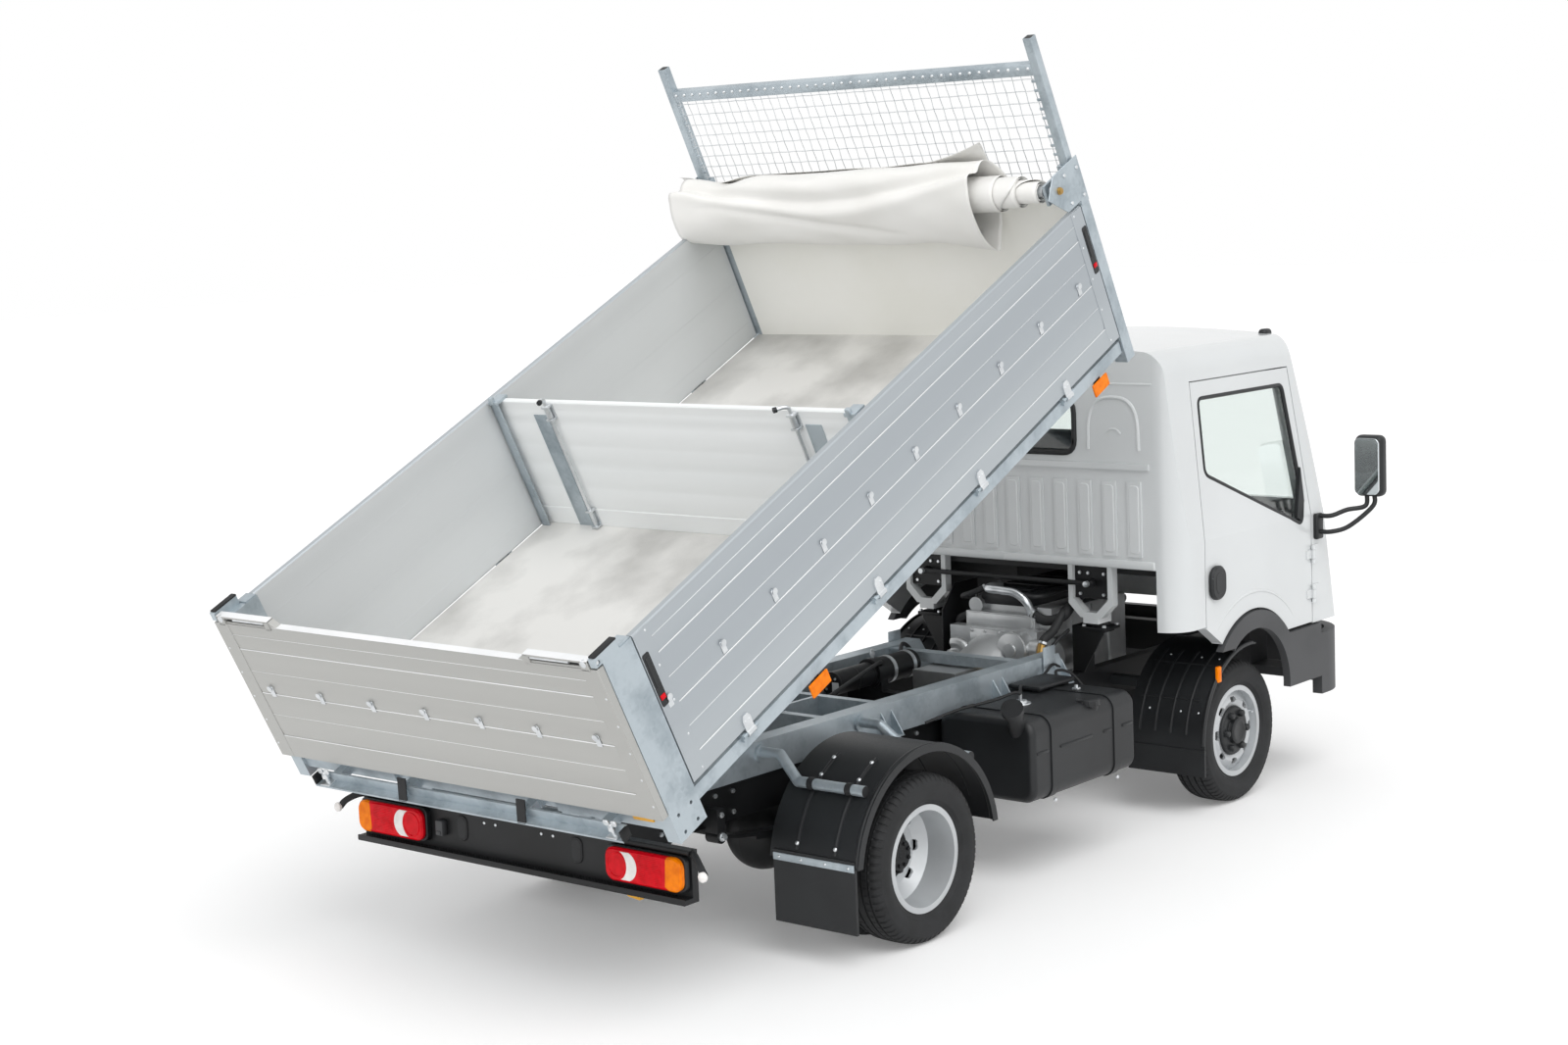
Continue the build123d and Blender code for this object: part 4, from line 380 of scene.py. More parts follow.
# Seat cover, woven: threads about 2.5 mm apart, drawn coarse enough to show
SEAT_CLOTH = finish("seat_cloth_woven", ("#2A2C30", "#3A3D42"), (0.8, 0.92), 60, 2.5, 0.3,
                    cells=True, Sheen_Weight=0.3)
# Grey moulded dash
DASH = finish("grey_dash_moulded", ("#34363A", "#3C3E42"), (0.55, 0.68), 300, 1.8, 0.05, cells=True)

# Lamp lenses: moulded acrylic with fine fluting behind a glossy face
LENS_RED = finish("red_acrylic_moulded", ("#C80012", "#DC081C"), (0.08, 0.14), 30, 5, 0.03,
                  Specular_IOR_Level=0.15)
LENS_AMBER = finish("amber_acrylic_moulded", ("#E87000", "#FA8604"), (0.08, 0.14), 30, 5, 0.03,
                    Specular_IOR_Level=0.15)
LENS_WHITE = finish("white_acrylic_moulded", ("#E6E2DF", "#F1EEEB"), (0.08, 0.14), 30, 5, 0.03,
                    Specular_IOR_Level=0.4)
# Coated polyester tarpaulin: white, a soft sheen, its cloth showing through the coat at about 4 mm
TARPAULIN = finish("pvc_tarpaulin_coated", ("#E9E8E4", "#EFEEEB"), (0.38, 0.5), 420, 4, 0.04,
                   Coat_Weight=0.15, Coat_Roughness=0.3)
# Turned brass of the roll's shaft end
BRASS = finish("brass_turned", ("#A8854A", "#BC9A5C"), (0.28, 0.38), 40, 1.0, 0.01, Metallic=0.9)
# Yellow hook paint
YELLOW = finish("yellow_enamel_sprayed", ("#D99A10", "#E6A81E"), (0.35, 0.45), 80, 3, 0.01)
# Mirror glass: silvered float
MIRROR_GLASS = finish("silvered_float_glass", ("#C8CED0", "#D2D8DA"), (0.02, 0.04), 200, 40,
                      0.001, Metallic=1.0)
# Label foil, printed side bare
LABEL_FOIL = finish("label_foil_bare", ("#DCDDDD", "#E6E7E7"), (0.35, 0.45), 60, 2, 0.005)
# Rubber hoses and seals: matt black
HOSE_RUBBER = finish("hose_rubber_extruded", ("#141516", "#1C1D1F"), (0.55, 0.68), 60, 2, 0.02)

NODE_FINISH = {
    "frame_rails": CHASSIS_BLACK, "frame_crossmembers": CHASSIS_BLACK, "rear_axle": CHASSIS_BLACK,
    "leaf_springs": CHASSIS_BLACK, "front_axle": CHASSIS_BLACK, "front_bumper": GREY_PLASTIC,
    "subframe_rails": GALVANISED, "subframe_crossmembers": GALVANISED, "mudguard_stays": GALVANISED,
    "engine": CASTING, "exhaust": SILENCER, "fuel_tank": BLACK_PLASTIC, "hydraulic_unit": CHASSIS_BLACK,
    "rear_mudguards": BLACK_PLASTIC, "rear_bumper": CHASSIS_BLACK, "tail_lamps": BLACK_PLASTIC,
    "front_mudguards": BLACK_PLASTIC, "cab_mounts": CHASSIS_BLACK, "cab_back": CAB_WHITE,
    "cab_roof": CAB_WHITE, "cab_front": CAB_WHITE, "door_left": CAB_WHITE, "door_right": CAB_WHITE,
    "cab_floor": CHASSIS_BLACK, "dashboard": DASH, "seats": SEAT_CLOTH, "mirrors": BLACK_PLASTIC,
    "cab_trim": GREY_PLASTIC, "cab_locks": CHASSIS_BLACK, "knuckle_left": CHASSIS_BLACK,
    "knuckle_right": CHASSIS_BLACK, "rim_front_left": RIM_SILVER, "rim_front_right": RIM_SILVER,
    "rims_rear_left": RIM_SILVER, "rims_rear_right": RIM_SILVER, "tyre_front_left": RUBBER,
    "tyre_front_right": RUBBER, "tyres_rear_left": RUBBER, "tyres_rear_right": RUBBER,
    "bed_floor": FLOOR_PLATE, "bed_beams": GALVANISED, "bed_crossmembers": GALVANISED,
    "bed_posts": GALVANISED, "headboard": BOARD, "mesh_guard": GALVANISED, "tarp_roll": BOARD,
    "partition": INNER_PLANK, "tailgate": ANODISED_ACROSS, "side_left": ANODISED, "side_right": ANODISED,
    "lift_barrel": CHASSIS_BLACK, "lift_stage_1": CHROMED, "lift_stage_2": CHROMED,
    "lift_stage_3": CHROMED, "lift_stage_4": CHROMED,
}

# Window glass, float with a grey tint: clear inside, a green-grey at the edge
GLASS, glass_tree, glass_shader = material("tinted_float_glass", {
    "Base Color": linear("#F1F6F4"), "Roughness": 0.02, "IOR": 1.5, "Transmission Weight": 1.0})
glass_place = add_node(glass_tree, "ShaderNodeTexCoord").outputs["Object"]
glass_film = add_node(glass_tree, "ShaderNodeTexNoise", {"Scale": 1 / (300 * MM)}, {"Vector": glass_place})
glass_rough = add_node(glass_tree, "ShaderNodeMapRange", {"To Min": 0.01, "To Max": 0.05},
                       {"Value": glass_film.outputs[0]})
glass_tree.links.new(glass_rough.outputs[0], glass_shader.inputs["Roughness"])
# Clear polycarbonate of the fog lamps, moulded: pale and glossy, with faint flutes
LAMP_CLEAR = finish("clear_polycarbonate_moulded", ("#C9CDD0", "#DCDFE1"), (0.05, 0.1), 40, 6,
                    0.05, Coat_Weight=0.6)
# Smoked polycarbonate of the headlamps, moulded: dark grey under a bright reflection
LAMP_SMOKED = finish("smoked_polycarbonate_moulded", ("#4A4E52", "#575B5F"), (0.05, 0.1), 40, 6,
                     0.05, Coat_Weight=0.6)
NODE_FINISH |= {"cab_glass": GLASS, "door_glass_left": GLASS, "door_glass_right": GLASS,
                "headlamps": LAMP_SMOKED}

for node_name, node_finish in NODE_FINISH.items():
    NODES[node_name].data.materials.clear()
    NODES[node_name].data.materials.append(node_finish)

# Bed walls: extruded planks with a ledge at each joint and a finer one between, foot band standing proud
PLANK_JOINTS = (80.0, 280.0, 480.0)
PLANK_LINES = (180.0, 380.0, 545.0)
# Half height, depth and upper lean of the ledge at a joint, and at a line between joints
JOINT_LEDGE = (1.5, 1.65, 30.0)
LINE_LEDGE = (1.0, 0.78, 14.0)
# Height and half width of the painted highlight strip along each ledge
PLANK_HIGHLIGHTS = [(h, 2.0) for h in PLANK_JOINTS] + [(h, 0.8) for h in PLANK_LINES]
BAND = 1.2


def plank_section(height, thick, foot=0.0):
    """A plank wall's outline: (depth from its outer face, height above the foot), up outside, down inside.

    Each joint is a ledge that faces up and catches the light; above it the next plank leans out again.
    """
    outer, inner = [(1.5, 0.0), (0.0, 1.5)], [(thick - 1.5, 0.0), (thick, 1.5)]
    for h in sorted(PLANK_JOINTS + PLANK_LINES):
        joint = h in PLANK_JOINTS
        half, deep, lean = JOINT_LEDGE if joint else LINE_LEDGE
        before = 0.0 if h <= PLANK_JOINTS[0] else BAND
        h = h + foot
        outer += [(before, h - half), (BAND + deep, h + half), (BAND, h + lean)]
        if joint:
            inner += [(thick, h - 1), (thick - 0.6, h), (thick, h + 1)]
    outer += [(BAND, height - 5), (BAND + 4, height)]
    inner += [(thick, height - 4), (thick - 4, height)]
    return np.array(outer + inner[::-1])


def rope_hook(place, out):
    """A rope hook: a small leaf and a waisted knob standing out along an axis."""
    place = np.asarray(place, float)
    profile = ((0, 9), (2, 9), (3, 6), (7, 6), (8.2, 12.5), (10, 13), (11, 10), (11, 0))
    side = np.array([0.0, 1.0, 0.0]) if out[0] else np.array([1.0, 0.0, 0.0])
    low = place - 12 * side + np.array([0, 0, -40.0])
    high = place + 12 * side + np.array([0, 0, 6.0]) + 3 * np.asarray(out, float)
    leaf = block(*zip(low, high), radius=1.2, steps=2)
    return [leaf, turned(profile, place, out, 12)]


HOOK_V = FLOOR_V + 327
HOOK_U = 1473.0 + 306.0 * (np.arange(10) - 4.5)
STRIP_RIVET_V = (232.0, 372.0, 512.0, 652.0, 792.0)
side_section = plank_section(WALL_TOP_V - FLOOR_V, PANEL)
for side, name in SIDES:
    outline = np.column_stack([side * (BED_HALF - side_section[:, 0]), FLOOR_V + side_section[:, 1]])
    parts = [prism(outline, *PANEL_U, axis="x", bevel=0.6)]
    for low, high in ((PANEL_U[0], PANEL_U[0] + 76), (PANEL_U[1] - 76, PANEL_U[1])):
        parts.append(block((low, high), (side * (BED_HALF - 3), side * (BED_HALF + 0.8)),
                           (FLOOR_V + 2, WALL_TOP_V - 3), 0.7, 2))
    wall = piece(f"side_{name}_planks", parts, ANODISED, f"{name}_side")
    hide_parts(f"side_{name}")
    faces = [block((PANEL_U[0] + 1, PANEL_U[1] - 1),
                   (side * (BED_HALF - PANEL - 0.6), side * (BED_HALF - PANEL + 1)),
                   (FLOOR_V + low, FLOOR_V + high), 0.5, 2)
             for low, high in zip((3.0, *PLANK_JOINTS), (*PLANK_JOINTS, WALL_TOP_V - FLOOR_V - 4.5))]
    piece(f"side_{name}_inner_faces", faces, INNER_SIDE, f"{name}_side")
    # Pale strips along the ledges: painted highlights
    edges = [block((PANEL_U[0] + 78, PANEL_U[1] - 78),
                   (side * (BED_HALF - BAND - 1), side * (BED_HALF - BAND + 0.9)),
                   (FLOOR_V + h - half, FLOOR_V + h + half), 0.6, 2) for h, half in PLANK_HIGHLIGHTS]
    piece(f"side_{name}_joint_highlight_strips", edges, JOINT_HIGHLIGHT, f"{name}_side")
    parts = []
    for u in HINGE_U:
        strap = np.array([(u - 22, SIDE_AXIS_V - 2), (u + 22, SIDE_AXIS_V - 2), (u + 22, FLOOR_V + 34),
                          (u + 12, FLOOR_V + 50), (u - 12, FLOOR_V + 50), (u - 22, FLOOR_V + 34)])
        parts.append(prism(strap, side * (SIDE_AXIS_Y - 3), side * (SIDE_AXIS_Y + 6), axis="y", bevel=1))
        barrel = ((0, 7.4), (0, 12), (1, 13), (43, 13), (44, 12), (44, 7.4))
        parts.append(turned(barrel, (u - 22, side * SIDE_AXIS_Y, SIDE_AXIS_V), (1, 0, 0), 20))
        for du in (-10, 10):
            parts.append(dome((u + du, side * (SIDE_AXIS_Y + 5.5), FLOOR_V + 26), (0, side, 0), 5, 3))
    for u in HOOK_U:
        parts += rope_hook((u, side * (BED_HALF - BAND), HOOK_V), (0, side, 0))
    for strip_u in (PANEL_U[0] + 60, PANEL_U[1] - 60):
        for v in STRIP_RIVET_V:
            parts.append(dome((strip_u, side * (BED_HALF + 0.6), v), (0, side, 0), 5, 2.2))
    piece(f"side_{name}_fittings", parts, ZINC, f"{name}_side")
    # Recessed latch at each end: a black case with a red grip near its foot
    cases, grips = [], []
    for u in (PANEL_U[0] + 20, PANEL_U[1] - 20):
        face = side * (BED_HALF + 0.5)
        case = rounded(34, 208, 8, (u, FLOOR_V + 412))
        cases.append(prism(case, face - side * 6, face + side * 2.2, axis="y", bevel=1))
        cases.append(prism(rounded(20, 120, 6, (u, FLOOR_V + 440)), face, face + side * 4.5,
                           axis="y", bevel=1.4))
        grips.append(block((u - 12, u + 12), (face, face + side * 5.0), (FLOOR_V + 334, FLOOR_V + 352), 2))
    piece(f"side_{name}_latches", cases, BLACK_PLASTIC, f"{name}_side")
    piece(f"side_{name}_grips", grips, LENS_RED, f"{name}_side")

# Tailgate: the same plank lying across, end strips, and two raised housings with a slot and a bolt in each
GATE_FOOT_V = FLOOR_V - 20
gate_section = plank_section(WALL_TOP_V - GATE_FOOT_V, PANEL, foot=20)
outline = np.column_stack([GATE_U + gate_section[:, 0], GATE_FOOT_V + gate_section[:, 1]])
HOUSING_Y = (660.0, 957.0)
parts = [prism(outline, -956, 956, axis="y", bevel=0.6)]
end_parts = [block((GATE_U - 0.8, GATE_U + PANEL), (914, 988), (GATE_FOOT_V, GATE_AXIS_V - 20), 1, 2)]
front_u, rear_u = GATE_U + PANEL - 1, GATE_U + 1
foot_v, head_v = WALL_TOP_V - 14, GATE_AXIS_V + 13
end_parts += [
    block((rear_u - 4, front_u), HOUSING_Y, (foot_v, foot_v + 9), 2),
    block((rear_u - 4, front_u), HOUSING_Y, (head_v - 9, head_v), 2),
    block((rear_u - 4, front_u), (HOUSING_Y[0], HOUSING_Y[0] + 26), (foot_v, head_v), 3),
    block((rear_u - 4, front_u), (HOUSING_Y[1] - 40, HOUSING_Y[1]), (foot_v, head_v), 3),
    prism([(HOUSING_Y[0] - 46, foot_v + 6), (HOUSING_Y[0] + 4, foot_v + 6), (HOUSING_Y[0] + 4, head_v - 2)],
          rear_u, front_u, axis="x", bevel=1),
]
gate = piece("tailgate_planks", parts + both(end_parts), ANODISED_ACROSS, "gate")
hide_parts("tailgate")
# Pale strips along the ledges, the top edge and the housings' heads: painted highlights
edges = [block((GATE_U + BAND - 0.9, GATE_U + BAND + 1), (-912, 912),
               (FLOOR_V + h - half, FLOOR_V + h + half), 0.6, 2) for h, half in PLANK_HIGHLIGHTS]
edges.append(block((GATE_U + 0.4, GATE_U + PANEL - 0.4), (-648, 648),
                   (WALL_TOP_V - 1.5, WALL_TOP_V + 0.5), 0.5, 2))
edges += both([block((rear_u - 3.4, front_u - 0.6), (HOUSING_Y[0] + 1, HOUSING_Y[1] - 1),
                     (head_v - 1.5, head_v + 0.5), 0.5, 2)])
piece("tailgate_joint_edges", edges, JOINT_HIGHLIGHT, "gate")
# A black block inside each housing's window stands in for the shade in the slot: painted shade
end_parts = [block((rear_u + 10, front_u - 6), (HOUSING_Y[0] + 20, HOUSING_Y[1] - 30),
                   (foot_v + 5, head_v - 6), 1, 2)]
piece("tailgate_slot_shade", both(end_parts), CHASSIS_BLACK, "gate")
pin = ((0, 0), (0, 8.6), (84, 8.6), (86, 7), (86, 0))
bolt_line = [(rear_u + 3, y, GATE_AXIS_V - 1) for y in (HOUSING_Y[0] + 30, HOUSING_Y[1] - 90)]
end_parts = [turned(pin, (GATE_U + PANEL / 2, 900, GATE_AXIS_V), (0, 1, 0), 16), tube(bolt_line, 6)]
end_parts.append(turned(((0, 0), (0, 13), (8, 15), (14, 13), (14, 0)),
                        (GATE_U - 4, 936, GATE_AXIS_V), (1, 0, 0), 16))
for v in (250.0, 360.0, 470.0, 580.0, 690.0):
    end_parts.append(dome((GATE_U - 0.6, 972, v), (-1, 0, 0), 5, 2.2))
parts = both(end_parts)
for y in 281.0 * (np.arange(7) - 3):
    parts += rope_hook((GATE_U + BAND, y, FLOOR_V + 310), (-1, 0, 0))
piece("tailgate_fittings", parts, ZINC, "gate")

# Partition: planks across the bed in galvanised guide channels, with two bolts
PART_REAR_U = PARTITION_U - 13
PART_TOP_V = FLOOR_V + 590
part_section = plank_section(PART_TOP_V - FLOOR_V, 26)
outline = np.column_stack([PART_REAR_U + part_section[:, 0], FLOOR_V + part_section[:, 1]])
board = piece("partition_planks", [prism(outline, -948, 948, axis="y", bevel=0.6)], INNER_PLANK,
              "bed")
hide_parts("partition")
BOLT_Y = 640.0
end_parts = [
    block((PART_REAR_U - 26, PART_REAR_U + 30), (942, 952), (FLOOR_V, PART_TOP_V), 1.5),
    block((PART_REAR_U - 26, PART_REAR_U - 21), (908, 950), (FLOOR_V, PART_TOP_V), 1.5),
    block((PARTITION_U + 14, PARTITION_U + 19), (908, 950), (FLOOR_V, PART_TOP_V), 1.5),
    block((PART_REAR_U - 3, PART_REAR_U + 1), (BOLT_Y + 34, BOLT_Y + 110), (FLOOR_V, PART_TOP_V - 60), 1.2),
    block((PART_REAR_U - 34, PARTITION_U + 24), (902, 954), (PART_TOP_V - 4, PART_TOP_V + 12), 4),
    block((PART_REAR_U - 40, PART_REAR_U - 20), (918, 940), (PART_TOP_V + 4, PART_TOP_V + 34), 5),
]
piece("partition_channels", both(end_parts), GALVANISED, "bed")
rod_u = PART_REAR_U - 17
handle = spline([(rod_u, BOLT_Y, FLOOR_V + 4), (rod_u, BOLT_Y, FLOOR_V + 300),
                 (rod_u, BOLT_Y, PART_TOP_V - 10), (rod_u - 2, BOLT_Y, PART_TOP_V + 18),
                 (rod_u - 16, BOLT_Y - 10, PART_TOP_V + 30), (rod_u - 44, BOLT_Y - 26, PART_TOP_V + 36)],
                40)
end_parts = [tube(handle, 8, 12)]
for low, high in ((FLOOR_V + 4, FLOOR_V + 90), (PART_TOP_V - 74, PART_TOP_V - 6)):
    end_parts.append(block((rod_u - 14, PART_REAR_U + 1), (BOLT_Y - 17, BOLT_Y + 17), (low, low + 10), 2))
    end_parts.append(block((rod_u - 14, PART_REAR_U + 1), (BOLT_Y - 17, BOLT_Y + 17), (high - 10, high), 2))
    end_parts.append(block((PART_REAR_U - 4, PART_REAR_U + 1),
                           (BOLT_Y - 20, BOLT_Y + 20), (low, high), 1.5))
end_parts.append(turned(((0, 9), (0, 13), (46, 13), (46, 9)),
                        (rod_u, BOLT_Y, PART_TOP_V - 62), (0, 0, 1), 16))
piece("partition_bolts", both(end_parts), ZINC, "bed")
tip = [(handle[-1] + (handle[-1] - handle[-2]) * f) for f in (-1.2, 0.2, 1.8)]
piece("partition_grips", both([tube(np.array(tip), 11, 12)]), BLACK_PLASTIC, "bed")

# Rear posts: black rubber caps on top, and a plate on the wall in front of each
end_parts = [block((GATE_U + 6, GATE_U + PANEL + 90), (962, 991), (GATE_AXIS_V + 20, GATE_AXIS_V + 28), 3)]
piece("post_caps", both(end_parts), RUBBER, "bed")
end_parts = [block((GATE_U + PANEL + 92, GATE_U + PANEL + 146), (932, 988),
                   (WALL_TOP_V - 1, WALL_TOP_V + 6), 2)]
piece("post_plates", both(end_parts), GALVANISED, "bed")

# Mesh guard: tube posts, a rail with a row of weld hooks, and crimped wire about 47 mm apart
GUARD_U = (3030.0, 3070.0)
GUARD_TOP_V = FLOOR_V + 1310
GUARD_RAIL_V = (GUARD_TOP_V - 155, GUARD_TOP_V - 105)
GUARD_FOOT_V = FLOOR_V + 770
GUARD_IN_Y = BED_HALF - 50
WIRE_LOW_V = FLOOR_V + 640
WIRE_Y = np.linspace(-GUARD_IN_Y + 14, GUARD_IN_Y - 14, 41)
WIRE_V = np.linspace(WIRE_LOW_V, GUARD_RAIL_V[1] - 14, 12)
WIRE_RADIUS = 1.7
wire_u = 3036.0
post = rounded(GUARD_U[1] - GUARD_U[0], 40, 5, (np.mean(GUARD_U), BED_HALF - 30), 3)
end_parts = [prism(post, GUARD_FOOT_V, GUARD_TOP_V, axis="z", bevel=0.8)]
for v in np.linspace(GUARD_FOOT_V + 40, GUARD_RAIL_V[0] - 30, 9):
    end_parts.append(block((wire_u - 4, GUARD_U[0] + 8), (GUARD_IN_Y - 18, GUARD_IN_Y + 4),
                           (v, v + 12), 2, 2))
parts = both(end_parts)
parts.append(block(GUARD_U, (-GUARD_IN_Y - 2, GUARD_IN_Y + 2), GUARD_RAIL_V, 4))
guard = piece("mesh_guard_frame", parts, GALVANISED, "bed")
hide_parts("mesh_guard")
parts = [dome((GUARD_U[0] + 1, y, GUARD_RAIL_V[1] - 18), (-1, 0, 0), 8, 7) for y in WIRE_Y]
for k, y in enumerate(WIRE_Y):
    v = np.linspace(WIRE_V[0], WIRE_V[-1], 4 * len(WIRE_V) - 3)
    wave = WIRE_RADIUS * np.cos(pi * np.arange(len(v)) / 4 + k * pi)
    parts.append(tube(np.column_stack([wire_u + wave, np.full(len(v), y), v]), WIRE_RADIUS, 6))
for k, v in enumerate(WIRE_V):
    y = np.linspace(-GUARD_IN_Y - 2, GUARD_IN_Y + 2, 4 * len(WIRE_Y) - 3)
    wave = -WIRE_RADIUS * np.cos(pi * np.arange(len(y)) / 4 + k * pi)
    parts.append(tube(np.column_stack([wire_u + wave, y, np.full(len(y), v)]), WIRE_RADIUS, 6))
piece("mesh_guard_wires", parts, ZINC, "bed")
piece("mesh_guard_plugs", both([prism(rounded(32, 32, 3, (np.mean(GUARD_U), BED_HALF - 30), 3),
                                      GUARD_TOP_V - 6, GUARD_TOP_V + 0.6, axis="z", bevel=0.4)]),
      CHASSIS_BLACK, "bed")

# Tarpaulin: one coated sheet wound on its tube, the last turn loose, skewed and sagging
ROLL_U, ROLL_V = 2905.0, 931.0
TARP_WIDTH = 1620.0
TARP_TURNS = 6
TARP_EDGE_Y = -912.0
EDGE_STEPS = ((0.34, 92.0), (0.72, 96.0))
LOOSE_TURNS = 1.2
LOOSE_U, LOOSE_V = 2898.0, 905.0
LOOSE_HALF = (100.0, 168.0)


def ease(x):
    """A smooth step from 0 to 1."""
    x = np.clip(x, 0, 1)
    return x**2 * (3 - 2 * x)


def crest(x, width):
    """A rounded crest of height 1 at x = 0."""
    return np.exp(-((x / width) ** 2))


def tarp_points(spiral_steps, loose_steps, across_steps):
    """The sheet as a grid of (turn, width): an even spiral, then a wide loose turn.

    The spiral's radius grows from 27 to 76 mm, and its edge steps back twice, so thinner stretches stand
    out at the right. The loose turn is an egg that narrows to the left, with small folds, one long valley
    slung across it like a swag and a second one slantwise below; its free edge ends in an ear on top.
    """
    q = np.linspace(0, 1, across_steps)[None, :]
    t = np.linspace(0, 1, spiral_steps)[:, None]
    angle = 2 * pi * TARP_TURNS * t + 0 * q
    radius = 27 + 49 * t**0.8 + 1.5 * np.sin(3 * angle + 9 * q) * t
    edge = TARP_EDGE_Y + sum(step * ease((t - place) / 0.06) for place, step in EDGE_STEPS)
    spiral = np.stack([ROLL_U + radius * np.cos(angle), edge + TARP_WIDTH * q,
                       ROLL_V + radius * np.sin(angle)], -1)
    s = np.linspace(0, 1, loose_steps)[1:, None]
    angle = 2 * pi * LOOSE_TURNS * s + 0 * q
    y = edge[-1] + 80 * ease(3 * s) + 20 * s + TARP_WIDTH * q
    grow = ease(s / 0.21)
    fold = 5 * np.sin(2 * angle + 5.5 * q + 1.2 * np.sin(6 * q))
    fold += 3 * np.sin(5 * angle - 9 * q + 2 * np.sin(4 * q))
    fold += 2.2 * np.sin(23 * q + 3 * angle) + 1.4 * np.sin(31 * q + 7 * angle)
    swag = 1.8 + 0.85 * np.sin(pi * np.clip((0.96 - q) / 0.96, 0, 1))
    slant = 3.75 - 1.05 * np.clip((q - 0.25) / 0.6, 0, 1)
    valley = 30 * crest(angle - swag, 0.22) - 13 * crest(angle - swag - 0.42, 0.2)
    valley += 20 * crest(angle - slant, 0.13) * np.sin(pi * np.clip((q - 0.2) / 0.72, 0, 1))
    valley += 26 * crest(q - 0.86, 0.07) * np.clip(np.sin(angle - 0.2), 0, 1) ** 2
    half_u = LOOSE_HALF[0] + 4 * np.sin(7 * q) + 0.45 * fold - 0.75 * valley
    half_v = LOOSE_HALF[1] * (1.03 - 0.2 * q) + fold - valley
    wide_u = LOOSE_U + half_u * np.sign(np.cos(angle)) * np.abs(np.cos(angle)) ** 0.85
    sag = 16 * np.clip(-np.sin(angle), 0, 1) * (0.4 + 0.6 * np.sin(pi * q))
    wide_v = LOOSE_V + half_v * np.sin(angle) - sag
    tight_u, tight_v = ROLL_U + 77 * np.cos(angle), ROLL_V + 77 * np.sin(angle)
    u, v = tight_u + (wide_u - tight_u) * grow, tight_v + (wide_v - tight_v) * grow
    ear = np.clip((s - 0.85) / 0.15, 0, 1) ** 1.3 * np.clip((0.15 - q) / 0.15, 0, 1) ** 1.2
    drop = crest(angle - 4.4, 0.4) * np.clip((0.12 - q) / 0.12, 0, 1)
    lift = 4 * np.clip((s - 0.84) / 0.16, 0, 1)
    u = np.minimum(u - 34 * ear, 3008)
    v = v + 84 * ear + lift - 34 * drop
    loose = np.stack([u, y - 70 * ear - 26 * drop, v], -1)
    return np.concatenate([spiral, loose])


sheet_points = tarp_points(241, 121, 91)
tarp = piece("tarp_sheet", [grid(sheet_points)], TARPAULIN, "bed", crease=80, closed=False)
thick = tarp.modifiers.new("coating", "SOLIDIFY")
thick.thickness, thick.offset = 1.0 * MM, 0.0
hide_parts("tarp_roll")
shaft = ((0, 0), (0, 10), (3, 11), (40, 11), (41, 23.6), (1899, 23.6), (1900, 11), (1937, 11),
         (1940, 10), (1940, 0))
piece("tarp_tube", [turned(shaft, (ROLL_U, -970, ROLL_V), (0, 1, 0), 24)], ZINC, "bed")

# Tyres: a rounded section with four grooves round the tread and a notched shoulder
TREAD_PITCHES = 66
TYRE_SECTION = np.array([
    (72.4, 193.2, 0), (72.4, 209, 0), (78, 214, 0), (85, 224, 0), (87.6, 225.5, 0), (88.6, 229, 0),
    (94.2, 244, 0), (97.2, 258, 0), (96.8, 274, 0), (94.5, 288, 0), (94.6, 291, 0), (92.6, 295, 0),
    (88.5, 304, 1), (82, 312, 1), (74, 318, 1), (66, 320.8, 1), (58, 322.6, 1), (54.2, 323.2, 0),
    (53, 315.5, 0), (47, 315.5, 0), (45.8, 323.8, 0), (40, 324.3, 0.45), (28, 324.8, 0.45),
    (22.2, 324.9, 0), (21, 316.5, 0), (15, 316.5, 0), (13.8, 325, 0),
])


def tyre(x, y):
    """A tyre as a grid of (angle, section): radius less 5 mm where a notch crosses the shoulder.

    point = middle + radius * (cos a, 0, sin a) + width * (0, 1, 0); the two shoulders lie half a pitch apart.
    """
    section = np.concatenate([TYRE_SECTION, (TYRE_SECTION * [-1, 1, 1])[::-1]])
    width, radius, share = section.T
    pitch = 2 * pi / TREAD_PITCHES
    steps = np.tile([0.0, 0.62, 0.68, 0.94], TREAD_PITCHES) + np.repeat(np.arange(TREAD_PITCHES), 4)
    notch = np.tile([0.0, 0.0, 1.0, 1.0], TREAD_PITCHES)
    angle = pitch * (steps[:, None] + 0.5 * (width < 0))
    radius = radius - 5.0 * notch[:, None] * share
    points = np.stack([x + radius * np.cos(angle), y + width + 0 * angle, WHEEL_Z + radius * np.sin(angle)],
                      -1)
    return grid(points, round_a=True, round_b=True)


def wheel_nuts(x, y, out, circle, count, across):
    """A ring of wheel nuts, each on a cone washer."""
    a = 2 * pi * np.arange(count) / count
    middles = np.stack([x + circle * np.cos(a), np.full(count, y), WHEEL_Z + circle * np.sin(a)], -1)
    return [shape for middle in middles
            for shape in (turned(((0, 17), (4, 16), (4, 0)), middle, (0, out, 0), 16),
                          hexagon(middle + [0, 3 * out, 0], (0, out, 0), across, 20))]


